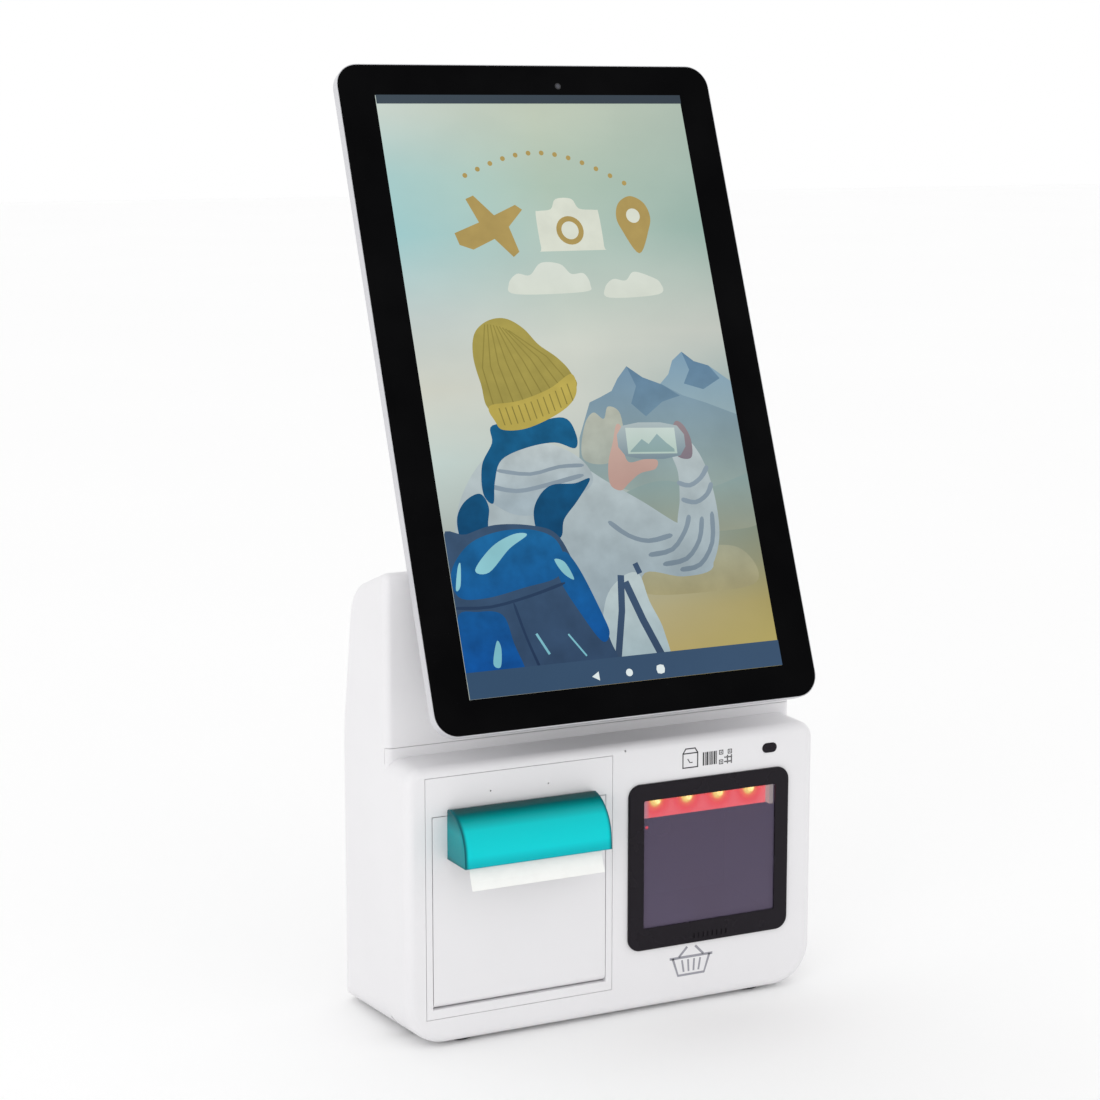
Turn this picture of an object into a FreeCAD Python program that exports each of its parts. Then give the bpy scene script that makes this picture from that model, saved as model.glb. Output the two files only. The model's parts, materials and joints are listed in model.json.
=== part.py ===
"""Countertop self-checkout kiosk.

A portrait touch display leans back on a friction hinge in front of a slim white housing.
The housing holds a receipt printer behind a drop-down door on the left, with a translucent
hood over the paper exit, and a barcode reader behind a glass window on the right.

Everything is drawn in the housing's own frame: X to the customer's right, Y backwards from
the front face, Z up from the housing's underside. main() then lifts the kiosk onto its feet
and centres it, so that the origin is the middle of the bounding box at counter level.
All sizes are in millimetres.
"""

import FreeCAD, Part
import math
import os

Vec = FreeCAD.Vector

# ---------------------------------------------------------------- driving dimensions
BODY_W = 257.0            # width of the housing
BODY_D = 95.0             # depth of the housing
BOX_H = 157.5             # height of the lower front box
BOX_TOP_R = 10.0          # rounding of its upper corners
BAND_Z = 154.3            # above this the front cover carries the full width of the seam
NECK_Y = 28.0             # how far the neck's front face stands behind the front face
NECK_H = 262.0            # height of the neck at its front edge
NECK_SLOPE = 19.0         # fall of the neck's top towards the back, degrees
SEAM_Z = 163.0            # seam across the neck, just above the box
WALL = 2.5                # moulded wall
GAP = 0.3                 # visible gap between neighbouring mouldings
FOOT_X = 92.0             # rubber feet
FOOT_FRONT_Y, FOOT_REAR_Y = 15.0, 78.5
FOOT_H = 2.0              # how far the rubber feet hold the housing off the counter

GLASS_W = 236.6           # display outline
GLASS_H = 382.4
GLASS_R = 13.5
ACTIVE_W = 193.6          # lit area of the 15.6 inch panel, 16:9, upright
ACTIVE_H = 344.2
PANEL_RIM_X = 6.2         # the panel's edge beyond its lit area: at the sides
PANEL_RIM_V = 5.9         # and above and below
TILT = 21.8               # lean of the display from vertical, degrees
GLASS_Y = -21.9           # lower front edge of the display
GLASS_Z = 179.2
CAMERA_X = 18.0           # camera behind the glass, in the top margin
CAMERA_DROP = 10.6
PAN_D = 12.6              # depth of the flat part of the display
BULGE_D = 28.0            # depth of the display at its electronics bulge
PIVOT_Y = 13.0            # tilt axis
PIVOT_Z = 204.0

PRINTER_X = -60.0         # middle of the printer bay
PAPER_W = 79.5            # 80 mm receipt paper
BEZEL_W = 113.4
BEZEL_Z0, BEZEL_Z1 = 15.3, 151.7
DOOR_W = 105.0
DOOR_Z0, DOOR_Z1 = 21.1, 129.7
DOOR_GAP = 0.45           # gap all round the door
SIGNAL_X, SIGNAL_Z = 17.5, 140.8         # pinholes over the hood for the two paper signals
HINGE_Y, HINGE_Z = 4.0, 25.1          # printer door axis
DOOR_PIN_R = 1.5
SLOT_Z = 126.4            # top of the door where the paper passes over it
PLATEN_Y, PLATEN_Z, PLATEN_R = 13.6, 116.0, 6.0
SHAFT_R = 2.5
WEB_Y = 19.97             # plane of the paper at the print line
PAPER_T = 0.12
CUT_Z = 123.9             # where the two blades shear the paper
ROLL_Y, ROLL_Z, ROLL_R = 50.0, 49.4, 34.0

GEAR_M = 0.8              # gear module
PLATEN_TEETH, IDLER_TEETH, PINION_TEETH = 18, 40, 12
GEAR_X0, GEAR_X1 = -108.0, -104.5
BACKLASH = 0.16

HOOD_X0, HOOD_X1 = -104.0, -15.4
HOOD_Z0, HOOD_Z1 = 105.6, 134.4
HOOD_DEPTH = 24.5
HOOD_WALL = 2.0

SCAN_X0, SCAN_X1 = 6.6, 110.6         # reader frame
SCAN_Z0, SCAN_Z1 = 35.6, 133.2
WIN_X0, WIN_X1 = 15.9, 101.5          # reader window
WIN_Z0, WIN_Z1 = 48.5, 123.6
LAMP_X = (28.0, 48.3, 68.7, 89.1)     # red lamps along the window's top edge
LAMP_Y, LAMP_Z = 4.7, 120.6           # middle of each lamp's dome
LAMP_R = 1.5
BAR_Y, BAR_Z0 = 7.2, 110.5            # face and lower edge of the diffuser behind the lamps
BAR_LIT_X1 = 100.5                    # where the diffuser meets its end block
LENS_X, LENS_Z, LENS_R = 58.7, 88.0, 8.0

SENSOR_X, SENSOR_Z = 98.3, 145.0      # oval presence sensor
SENSOR_W, SENSOR_H = 9.6, 5.8
MICROPHONE_X, MICROPHONE_Z = 4.9, 153.5

VESA = 75.0               # rear mounting holes
VESA_Z = 80.0
VESA_R = 2.1
COUNTER_X, COUNTER_Y = 160.0, 50.0    # spacing of the fixing holes in the base
COUNTER_R = 2.2
BASE_MID_Y = 58.0
LOOM_Y, LOOM_Z = 58.0, 241.0          # where the wiring climbs the neck, and its outlet
LOOM_R = 2.6
TOWERS = ((-122.2, 140.0), (122.2, 140.0), (116.0, 27.0))      # screw towers joining the two shells
LIP_Y = NECK_Y + 2.3      # back of the front cover's upstand
HINGE_BOLTS = ((-16, 188), (-16, 224), (16, 188), (16, 224))   # bolts of the hinge bracket
BRACKET_BOLT_X, BRACKET_BOLT_V = 24.0, 12.0            # display bracket screws, about the pivot
PANEL_SCREWS = ((-95, 19), (-95, 141), (95, 19), (95, 141))
PANEL_SINK = 1.2          # depth of the recess under each panel screw
EAR_R = 6.5               # hinge ears
HINGE_PIN_R = 3.0

PORT_Z0 = 17.6            # upper face of the port board
REAR_IN = BODY_D - WALL   # inner face of the rear wall

EPS = 0.01


# ---------------------------------------------------------------- helpers
def box(x0, x1, y0, y1, z0, z1):
    return Part.makeBox(x1 - x0, y1 - y0, z1 - z0, Vec(x0, y0, z0))


def cyl_x(y, z, r, x0, x1):
    return Part.makeCylinder(r, x1 - x0, Vec(x0, y, z), Vec(1, 0, 0))


def cyl_y(x, z, r, y0, y1):
    return Part.makeCylinder(r, y1 - y0, Vec(x, y0, z), Vec(0, 1, 0))


def cyl_z(x, y, r, z0, z1):
    return Part.makeCylinder(r, z1 - z0, Vec(x, y, z0), Vec(0, 0, 1))


def fuse(shapes):
    shapes = list(shapes)
    return shapes[0].multiFuse(shapes[1:]).removeSplitter()


def cut(shape, tools):
    return shape.cut(list(tools))


def group(shapes):
    return Part.makeCompound(list(shapes))


def square_of(x, z, pitch):
    """Centres of a square hole pattern in XZ."""
    return [(x + sx * pitch / 2, z + sz * pitch / 2) for sx in (-1, 1) for sz in (-1, 1)]


def outline_xz(x0, x1, z0, z1, r_bottom, r_top, y):
    """Upright rounded rectangle at depth y, with its own bottom and top corner radii."""
    corners = [(x0, z0, r_bottom, 180), (x1, z0, r_bottom, 270), (x1, z1, r_top, 0), (x0, z1, r_top, 90)]
    centres = []
    for x, z, r, start in corners:
        cx = x + r if x == x0 else x - r
        cz = z + r if z == z0 else z - r
        centres.append((cx, cz, r, start))

    def on_arc(cx, cz, r, degrees):
        a = math.radians(degrees)
        return Vec(cx + r * math.cos(a), y, cz + r * math.sin(a))

    edges = []
    for i, (cx, cz, r, start) in enumerate(centres):
        arc = Part.Arc(on_arc(cx, cz, r, start), on_arc(cx, cz, r, start + 45), on_arc(cx, cz, r, start + 90))
        edges.append(arc.toShape())
        nx, nz, nr, nstart = centres[(i + 1) % 4]
        edges.append(Part.LineSegment(on_arc(cx, cz, r, start + 90), on_arc(nx, nz, nr, nstart)).toShape())
    return Part.Wire(edges)


def slab(x0, x1, z0, z1, r, y0, y1):
    """Rounded rectangle standing in XZ, from depth y0 to y1."""
    face = Part.Face(outline_xz(x0, x1, z0, z1, r, r, y0))
    return face.extrude(Vec(0, y1 - y0, 0))


def taper(x0, x1, z0, z1, r, y0, y1, inset):
    """As slab, but its outline shrinks by inset towards y1."""
    near = outline_xz(x0, x1, z0, z1, r, r, y0)
    far_r = max(r - inset * 0.5, 1.0)
    far = outline_xz(x0 + inset, x1 - inset, z0 + inset, z1 - inset, far_r, far_r, y1)
    return Part.makeLoft([near, far], True, True)


def prism_x(path, x0, x1):
    """Closed YZ outline swept along X. Each entry is a point, or a pair: arc mid point, arc end point."""
    last = path[0]
    edges = []
    for step in path[1:] + [path[0]]:
        if isinstance(step[0], tuple):
            mid, end = step
            arc = Part.Arc(Vec(x0, *last), Vec(x0, *mid), Vec(x0, *end))
            edges.append(arc.toShape())
            last = end
        elif (Vec(0, *step) - Vec(0, *last)).Length > EPS:
            edges.append(Part.LineSegment(Vec(x0, *last), Vec(x0, *step)).toShape())
            last = step
    return Part.Face(Part.Wire(edges)).extrude(Vec(x1 - x0, 0, 0))


def ribbon_x(points, thickness, x0, x1):
    """Thin sheet along a YZ centre line of straight runs, swept along X."""
    left, right = [], []
    for i, (y, z) in enumerate(points):
        ay, az = points[max(i - 1, 0)]
        by, bz = points[min(i + 1, len(points) - 1)]
        length = math.hypot(by - ay, bz - az)
        ny, nz = -(bz - az) / length, (by - ay) / length
        left.append((y + ny * thickness / 2, z + nz * thickness / 2))
        right.append((y - ny * thickness / 2, z - nz * thickness / 2))
    return prism_x(left + right[::-1], x0, x1)


def arc_points(cy, cz, r, start, end, count):
    """Points on a YZ arc, angles in degrees from +Y towards +Z."""
    found = []
    for i in range(count + 1):
        a = math.radians(start + (end - start) * i / count)
        found.append((cy + r * math.cos(a), cz + r * math.sin(a)))
    return found


def screw_y(x, z, y_head, length, r=1.5, head_r=2.8, head_t=1.8, towards=-1):
    """Pan-head screw along Y with a cross recess. towards is the way its shank points."""
    head = cyl_y(x, z, head_r, y_head, y_head + head_t)
    if towards > 0:
        head = cyl_y(x, z, head_r, y_head - head_t, y_head)
    far = y_head + towards * length
    shank = cyl_y(x, z, r, min(y_head, far), max(y_head, far))
    face = y_head - towards * head_t
    low = face - 0.8 if towards < 0 else face
    slot_a = box(x - head_r * 0.6, x + head_r * 0.6, low, low + 0.8, z - 0.35, z + 0.35)
    slot_b = box(x - 0.35, x + 0.35, low, low + 0.8, z - head_r * 0.6, z + head_r * 0.6)
    return cut(fuse([head, shank]), [slot_a, slot_b])


def gear(teeth, y, z, phase, x0, x1, bore):
    """Involute spur gear in the YZ plane; phase is the angle of one tooth's middle, in radians."""
    pressure = math.radians(20)
    pitch_r = GEAR_M * teeth / 2
    base_r = pitch_r * math.cos(pressure)
    tip_r = pitch_r + GEAR_M * 0.9
    root_r = pitch_r - GEAR_M * 1.2
    half = (math.pi / 2 - BACKLASH / GEAR_M) / teeth

    def half_angle(r):
        if r <= base_r:
            a = 0.0
        else:
            a = math.acos(base_r / r)
        return half + (math.tan(pressure) - pressure) - (math.tan(a) - a)

    radii = [root_r, max(base_r, root_r + EPS), (max(base_r, root_r) + pitch_r) / 2, pitch_r,
             (pitch_r + tip_r) / 2, tip_r]
    points = []
    for n in range(teeth):
        mid = phase + 2 * math.pi * n / teeth
        flank = [(r, half_angle(r)) for r in radii]
        for r, h in flank:
            points.append((y + r * math.cos(mid - h), z + r * math.sin(mid - h)))
        for r, h in reversed(flank):
            points.append((y + r * math.cos(mid + h), z + r * math.sin(mid + h)))
    return prism_x(points, x0, x1).cut(cyl_x(y, z, bore, x0 - 1, x1 + 1))


def meshing_phase(phase_a, teeth_a, teeth_b, a, b):
    """Phase that puts a gap of gear b, centred at b, round the tooth of gear a, centred at a."""
    line = math.atan2(b[1] - a[1], b[0] - a[0])
    offset = (phase_a - line) * teeth_a
    return line + math.pi - offset / teeth_b + math.pi / teeth_b


# ---------------------------------------------------------------- housing
def box_block(inset):
    """Lower front box, shrunk by inset. Its bottom corners are large at the front and smaller behind."""
    half = BODY_W / 2 - inset
    bottom_front, bottom_back = 25.0 - inset, 19.4 - inset
    top_r = BOX_TOP_R - inset
    z0, z1 = inset, BOX_H - inset
    front = outline_xz(-half, half, z0, z1, bottom_front, top_r, inset)
    back = outline_xz(-half, half, z0, z1, bottom_back, top_r, NECK_Y)
    block = Part.makeLoft([front, back], True, True)
    rim = [e for e in block.Edges if max(abs(e.BoundBox.YMax - inset), abs(e.BoundBox.YMin - inset)) < EPS]
    return block.makeFillet(5.5 - inset, rim)


def rear_block(inset):
    """Rear housing block, shrunk by inset: upright front, sloping top, back that leans in at the neck."""
    half = BODY_W / 2 - inset
    y0, y1 = NECK_Y + inset, BODY_D - inset
    slope = math.tan(math.radians(NECK_SLOPE))
    top_y = 66.0
    top_z = NECK_H - (top_y - NECK_Y) * slope - inset
    front_z = top_z + (top_y - y0) * slope
    block = prism_x([
        (y0, inset),
        (y0, front_z),
        (top_y, top_z),
        ((77.0 - inset * 0.7, 240.2 - inset * 0.7), (82.4 - inset, 227.0 - inset * 0.2)),
        (91.6 - inset, 177.0),
        ((94.2 - inset, 161.0), (y1, 145.0)),
        (y1, inset),
    ], -half, half)
    rim = []
    for e in block.Edges:
        b = e.BoundBox
        on_side = abs(abs(b.XMin) - half) < EPS and b.XMax - b.XMin < EPS
        front_top = abs(b.YMin - y0) < EPS and abs(b.ZMin - front_z) < EPS
        if (on_side and b.ZMax > inset + EPS) or (front_top and b.XMax - b.XMin > 1):
            rim.append(e)
    block = block.makeFillet(4.5 - inset * 0.4, rim)
    # behind the front box the block keeps the box's own outline, so the two meet flush
    joint = Part.Face(outline_xz(-half, half, inset, BOX_H - inset, 19.4 - inset, BOX_TOP_R - inset, y0))
    block = fuse([block, joint.extrude(Vec(0, 6, 0))])
    near = outline_xz(-half, half, inset, NECK_H + 5, 19.4 - inset, 6.0, NECK_Y)
    far = outline_xz(-half, half, inset, NECK_H + 5, 6.0 - inset, 6.0, BODY_D)
    return block.common(Part.makeLoft([near, far], True, True))


def front_cover():
    shell = box_block(0).cut(box_block(WALL))
    behind = fuse([box(-125.7, 125.7, NECK_Y - EPS, LIP_Y, BOX_H - WALL, BOX_H + EPS),
                   box(-130, 130, NECK_Y - EPS, LIP_Y, BAND_Z, SEAM_Z)])
    upstand = rear_block(0).common(behind)
    shell = fuse([shell, upstand])
    bay = box(PRINTER_X - BEZEL_W / 2 - GAP, PRINTER_X + BEZEL_W / 2 + GAP, -1, WALL + 1,
              BEZEL_Z0 - GAP, BEZEL_Z1 + GAP)
    window = slab(SCAN_X0 + 5, SCAN_X1 - 5, SCAN_Z0 + 8, SCAN_Z1 - 6, 3, -1, WALL + 1)
    oval = slab(SENSOR_X - SENSOR_W / 2, SENSOR_X + SENSOR_W / 2, SENSOR_Z - SENSOR_H / 2,
                SENSOR_Z + SENSOR_H / 2, SENSOR_H / 2 - EPS, -1, WALL + 1)
    microphone = cyl_y(MICROPHONE_X, MICROPHONE_Z, 0.6, -1, WALL + 1)
    shell = cut(shell, [bay, window, oval, microphone])
    ribs = [box(x - 1, x + 1, WALL - EPS, 20, WALL - EPS, 10) for x in (-40, 40)]
    bosses = [cyl_y(x, z, 3.0, WALL - EPS, 27.0) for x, z in TOWERS]
    holes = [cyl_y(x, z, 1.25, 12.0, 28.0) for x, z in TOWERS]
    return fuse([shell] + ribs + bosses).common(box_block(0).fuse(upstand)).cut(holes)


def rear_housing():
    shell = rear_block(0).cut(rear_block(WALL))
    mouth = fuse([box(-BODY_W / 2 + WALL, BODY_W / 2 - WALL, NECK_Y - 1, LIP_Y + GAP, -1, BOX_H + 1),
                  box(-130, 130, NECK_Y - 1, LIP_Y + GAP, BAND_Z, SEAM_Z + GAP)])
    floor = box(-112, 112, NECK_Y - 1, 86, -1, WALL + 0.5)
    panel = slab(-100 - GAP, 100 + GAP, 14 - GAP, 146 + GAP, 5, REAR_IN - 1, BODY_D + 1)
    bolts = [cyl_y(x, z, 2.2, NECK_Y - 1, NECK_Y + WALL + 1) for x, z in HINGE_BOLTS]
    outlet = cyl_y(0, LOOM_Z, 7.0, NECK_Y - 1, NECK_Y + WALL + 1)
    shell = cut(shell, [mouth, floor, panel, outlet] + bolts)
    # ledges behind the service panel, and the screw towers that the front cover is drawn against
    rooted = REAR_IN + 0.5
    ledges = [box(-106, 106, 89.5, rooted, 9.5, 13.2), box(-106, 106, 89.5, rooted, 146.8, 151)]
    ledges += [box(s * 103 - 2.5, s * 103 + 2.5, 89.5, rooted, 9.5, 151) for s in (-1, 1)]
    towers = [cyl_y(x, z, 3.0, 28.2, REAR_IN + 1).cut(cyl_y(x, z, 1.7, 28.0, REAR_IN - 2)) for x, z in TOWERS]
    side_rib = [box(s * 124.6 - 1.6, s * 124.6 + 1.6, 60, 62, 30, 200) for s in (-1, 1)]
    return fuse([shell] + ledges + towers + side_rib)


def rear_panel():
    """Service panel with the wall-mount holes, vents and port openings."""
    y0, y1 = REAR_IN - 1, BODY_D + 1
    panel = slab(-100, 100, 14, 146, 5, REAR_IN, BODY_D)
    holes = [cyl_y(x, z, VESA_R, y0, y1) for x, z in square_of(0, VESA_Z, VESA)]
    vents = [box(x + i * 6, x + i * 6 + 3, y0, y1, 96, 132) for x in (-88, 49) for i in range(7)]
    ports = [box(x0, x1, y0, y1, z0, z1) for x0, x1, z0, z1 in PORTS.values()]
    button = cyl_y(BUTTON_X, BUTTON_Z, BUTTON_R + 0.25, y0, y1)
    corners = [cyl_y(x, z, 1.7, y0, y1) for x, z in PANEL_SCREWS]
    sinks = [cyl_y(x, z, 3.1, BODY_D - PANEL_SINK, y1) for x, z in PANEL_SCREWS]
    return cut(panel, holes + vents + ports + [button] + corners + sinks)


def rear_panel_screws():
    return group(screw_y(x, z, BODY_D - PANEL_SINK, 9.0, 1.5, 2.8, 1.1) for x, z in PANEL_SCREWS)


def base_plate():
    """Steel floor of the housing, with the holes that fix the kiosk to a counter."""
    plate = box(-111.7, 111.7, NECK_Y + GAP, 85.7, 0.2, 2.0)
    holes = [cyl_z(sx * COUNTER_X / 2, BASE_MID_Y + sy * COUNTER_Y / 2, COUNTER_R, -1, 3)
             for sx in (-1, 1) for sy in (-1, 1)]
    vents = [box(30 + i * 8, 34 + i * 8, 45, 75, -1, 3) for i in range(5)]
    return cut(plate, holes + vents)


def rubber_feet():
    front = [cyl_z(x, FOOT_FRONT_Y, 8.0, -FOOT_H, 0) for x in (-FOOT_X, FOOT_X)]
    rear = [cyl_z(x, FOOT_REAR_Y, 6.0, -FOOT_H, 0.2) for x in (-FOOT_X - 12, FOOT_X + 12)]
    return group(front + rear)


def chassis_frame():
    """Folded steel: a plate inside the rear wall with the wall-mount threads, and a floor flange."""
    plate = box(-84, 90, 87.0, 88.6, 42, 150)
    left = box(-84, -60, 87.0, 88.6, 20, 42)
    threads = [cyl_y(x, z, 4.0, 84.0, REAR_IN - 0.1) for x, z in square_of(0, VESA_Z, VESA)]
    bores = [cyl_y(x, z, VESA_R, 83, 95) for x, z in square_of(0, VESA_Z, VESA)]
    flange = box(-84, -60, 78, 88.6, 20, 21.6)
    return fuse([plate, left, flange] + threads).cut(bores)


def neck_frame():
    """Folded steel channel inside the neck. It carries the tilt hinge down to the chassis."""
    y0 = NECK_Y + WALL + 0.1
    front = box(-55, 55, y0, y0 + 2.0, 168, 236)
    sides = [box(s * 54 - 1, s * 54 + 1, y0, 72, 168, 234) for s in (-1, 1)]
    foot = box(-55, 55, y0, 86.8, 152, 154)
    legs = [box(s * 54 - 1, s * 54 + 1, y0, 76, 152, 170) for s in (-1, 1)]
    hook = box(-55, 55, 85.0, 86.8, 136, 154)
    holes = [cyl_y(x, z, 1.75, y0 - 1, y0 + 3) for x, z in HINGE_BOLTS]
    holes.append(cyl_z(0, LOOM_Y, 6.0, 150, 156))
    return fuse([front, foot, hook] + sides + legs).cut(holes)


# ---------------------------------------------------------------- tilt hinge and display
def hinge_bracket():
    """Fixed half of the tilt hinge: a plate on the neck with two ears."""
    plate = box(-40, 40, NECK_Y - 2.6, NECK_Y - 0.05, 180, 232)
    shapes = [plate]
    for side in (-1, 1):
        x0, x1 = sorted((side * 30.0, side * 33.0))
        arm = box(x0, x1, PIVOT_Y, NECK_Y - 2.5, PIVOT_Z - EAR_R, PIVOT_Z + EAR_R)
        shapes += [arm, cyl_x(PIVOT_Y, PIVOT_Z, EAR_R, x0, x1)]
    bolts = [cyl_y(x, z, 2.2, 20, 30) for x, z in HINGE_BOLTS]
    bore = cyl_x(PIVOT_Y, PIVOT_Z, HINGE_PIN_R, -50, 50)
    return cut(fuse(shapes), bolts + [bore])


def hinge_bracket_screws():
    return group(screw_y(x, z, NECK_Y - 2.6, 9.5, 1.75, 3.5, 2.0, towards=1) for x, z in HINGE_BOLTS)


def hinge_pins():
    pins = []
    for side in (-1, 1):
        x_in, x_out = side * 27.0, side * 41.0
        pin = cyl_x(PIVOT_Y, PIVOT_Z, HINGE_PIN_R, min(x_in, x_out), max(x_in, x_out))
        head = cyl_x(PIVOT_Y, PIVOT_Z, 5.0, *sorted((side * 27.0, side * 29.95)))
        nut = cyl_x(PIVOT_Y, PIVOT_Z, 5.0, *sorted((side * 38.6, side * 41.0)))
        pins.append(fuse([pin, head, nut]))
    return group(pins)


def friction_washers():
    washers = []
    for side in (-1, 1):
        for a, b in ((33.05, 34.15), (37.45, 38.55)):
            x0, x1 = sorted((side * a, side * b))
            bore = cyl_x(PIVOT_Y, PIVOT_Z, HINGE_PIN_R + 0.02, x0 - 1, x1 + 1)
            washers.append(cyl_x(PIVOT_Y, PIVOT_Z, 5.8, x0, x1).cut(bore))
    return group(washers)


def lean(shape):
    """Moves a display piece, drawn upright with its lower front edge at the origin, to its place."""
    shape.rotate(Vec(0, 0, 0), Vec(1, 0, 0), -TILT)
    shape.translate(Vec(0, GLASS_Y, GLASS_Z))
    return shape


def across_tilt(y, z):
    """A point of the housing in the display's own upright frame: depth behind the glass, height up it."""
    t = math.radians(TILT)
    dy, dz = y - GLASS_Y, z - GLASS_Z
    return dy * math.cos(t) - dz * math.sin(t), dy * math.sin(t) + dz * math.cos(t)


GLASS_MID = GLASS_H / 2
PIVOT_D, PIVOT_V = across_tilt(PIVOT_Y, PIVOT_Z)
BRACKET_BOLTS = [(sx * BRACKET_BOLT_X, PIVOT_V + sv * BRACKET_BOLT_V) for sx in (-1, 1) for sv in (-1, 1)]


def touch_glass():
    half = GLASS_W / 2 - 0.6
    glass = slab(-half, half, 0.6, GLASS_H - 0.6, GLASS_R - 0.6, 0, 2.0)
    rim = [e for e in glass.Edges if e.BoundBox.YMax < EPS]
    return lean(glass.makeChamfer(0.4, rim))


def display_frame():
    half = GLASS_W / 2
    frame = slab(-half, half, 0, GLASS_H, GLASS_R, 0.9, 8.2)
    rim = [e for e in frame.Edges if e.BoundBox.YMin > 8.2 - EPS]
    frame = frame.makeFillet(1.2, rim)
    pocket = slab(-half + 0.45, half - 0.45, 0.45, GLASS_H - 0.45, GLASS_R - 0.5, 0, 2.95)
    well = slab(-half + 8, half - 8, 7, GLASS_H - 7, 6, 2.9, 9)
    return lean(frame.cut(pocket).cut(well))


def lcd_panel():
    half_w, half_h = ACTIVE_W / 2 + PANEL_RIM_X, ACTIVE_H / 2 + PANEL_RIM_V
    return lean(slab(-half_w, half_w, GLASS_MID - half_h, GLASS_MID + half_h, 2, 2.6, 8.0))


def camera_module():
    board = box(CAMERA_X - 10, CAMERA_X + 10, 3.0, 4.2, GLASS_H - 12.6, GLASS_H - 7.4)
    return lean(fuse([board, cyl_y(CAMERA_X, GLASS_H - CAMERA_DROP, 2.0, 2.05, 3.05)]))


def display_rear_cover():
    half = GLASS_W / 2 - 1.5
    pan = taper(-half, half, 1.5, GLASS_H - 1.5, GLASS_R - 1.5, 8.3, PAN_D, 9.0)
    bulge = taper(-88, 88, 112, 336, 14, PAN_D - 1, BULGE_D, 8.0)
    shell = fuse([pan, bulge])
    pan_in = taper(-half + 2.5, half - 2.5, 4, GLASS_H - 4, GLASS_R - 4, 8.0, PAN_D - 2, 8.0)
    bulge_in = taper(-86, 86, 114, 334, 12, PAN_D - 3, BULGE_D - 2, 8.0)
    shell = cut(shell, [pan_in, bulge_in])
    vents = [box(-52, 52, BULGE_D - 3, BULGE_D + 1, 292 + i * 6, 295 + i * 6) for i in range(5)]
    speakers = []
    for x0 in (-62, 34):
        for i in range(5):
            speakers.append(box(x0 + i * 6, x0 + i * 6 + 3, BULGE_D - 3, BULGE_D + 1, 140, 160))
    bolts = [cyl_y(x, v, 1.6, 8, 20) for x, v in BRACKET_BOLTS]
    return lean(cut(shell, vents + speakers + bolts))


def display_bracket():
    """Moving half of the tilt hinge, screwed to the back of the display."""
    plate = box(-42, 42, PAN_D + 0.02, PAN_D + 2.2, PIVOT_V - 18, PIVOT_V + 20)
    shapes = [plate]
    for side in (-1, 1):
        x0, x1 = sorted((side * 34.3, side * 37.3))
        shapes.append(box(x0, x1, PAN_D + 0.5, PIVOT_D, PIVOT_V - EAR_R, PIVOT_V + EAR_R))
        shapes.append(cyl_x(PIVOT_D, PIVOT_V, EAR_R, x0, x1))
    bore = cyl_x(PIVOT_D, PIVOT_V, HINGE_PIN_R + 0.05, -50, 50)
    bolts = [cyl_y(x, v, 1.6, 8, 20) for x, v in BRACKET_BOLTS]
    return lean(cut(fuse(shapes), [bore] + bolts))


def display_bracket_screws():
    return lean(group(screw_y(x, v, PAN_D + 2.25, 5.0, 1.5, 2.6, 1.4) for x, v in BRACKET_BOLTS))


def main_board():
    board = box(-74, 74, 17.0, 18.6, 176, 318)
    chips = [box(-14, 18, 18.55, 21.0, 226, 258), box(30, 46, 18.55, 20.2, 232, 256),
             box(-60, -36, 18.55, 20.6, 200, 214), box(-66, -40, 18.55, 23.5, 290, 304)]
    posts = [cyl_y(x, v, 2.5, 8.05, 17.05) for x in (-68, 68) for v in (182, 312)]
    return lean(fuse([board] + chips + posts))


def speakers():
    units = []
    for x in (-47.5, 48.5):
        basket = slab(x - 17, x + 17, 136, 164, 4, 14.0, 21.0)
        cone = Part.makeCone(4, 11, 4, Vec(x, 21.0, 150), Vec(0, 1, 0))
        units.append(fuse([basket, cone]))
    return lean(group(units))


# ---------------------------------------------------------------- printer bay
BAY_X0 = PRINTER_X - BEZEL_W / 2
BAY_X1 = PRINTER_X + BEZEL_W / 2
DOOR_X0 = PRINTER_X - DOOR_W / 2 - 0.1
DOOR_X1 = PRINTER_X + DOOR_W / 2 - 0.1
PAPER_X0 = PRINTER_X - PAPER_W / 2
PAPER_X1 = PRINTER_X + PAPER_W / 2


def printer_bezel():
    """Flush white frame round the printer door, with the flange that clips it into the cover."""
    plate = box(BAY_X0, BAY_X1, 0, WALL, BEZEL_Z0, BEZEL_Z1)
    flange = box(BAY_X0 - 2.0, BAY_X1 + 2.0, WALL + 0.05, WALL + 1.6, BEZEL_Z0 - 2.0, BEZEL_Z1)
    neck = box(BAY_X0, BAY_X1, WALL - EPS, WALL + 0.1, BEZEL_Z0, BEZEL_Z1)
    opening = box(DOOR_X0 - DOOR_GAP, DOOR_X1 + DOOR_GAP, -1, 10, DOOR_Z0 - DOOR_GAP, DOOR_Z1 + DOOR_GAP)
    frame = fuse([plate, neck, flange]).cut(opening)
    lugs = []
    for x0, x1 in ((BAY_X0, DOOR_X0 - DOOR_GAP), (DOOR_X1 + DOOR_GAP, BAY_X1)):
        lugs.append(box(x0, x1, WALL, 9.0, HINGE_Z - 5, HINGE_Z + 5))
    bore = cyl_x(HINGE_Y, HINGE_Z, DOOR_PIN_R, BAY_X0 - 1, BAY_X1 + 1)
    signals = [cyl_y(PRINTER_X + s * SIGNAL_X - 0.5, SIGNAL_Z, 0.5, -1, 5) for s in (-1, 1)]
    return cut(fuse([frame] + lugs), [bore] + signals)


def door_hinge_pins():
    left = cyl_x(HINGE_Y, HINGE_Z, DOOR_PIN_R, BAY_X0, DOOR_X0 + 8)
    right = cyl_x(HINGE_Y, HINGE_Z, DOOR_PIN_R, DOOR_X1 - 8, BAY_X1)
    return group([left, right])


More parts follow.
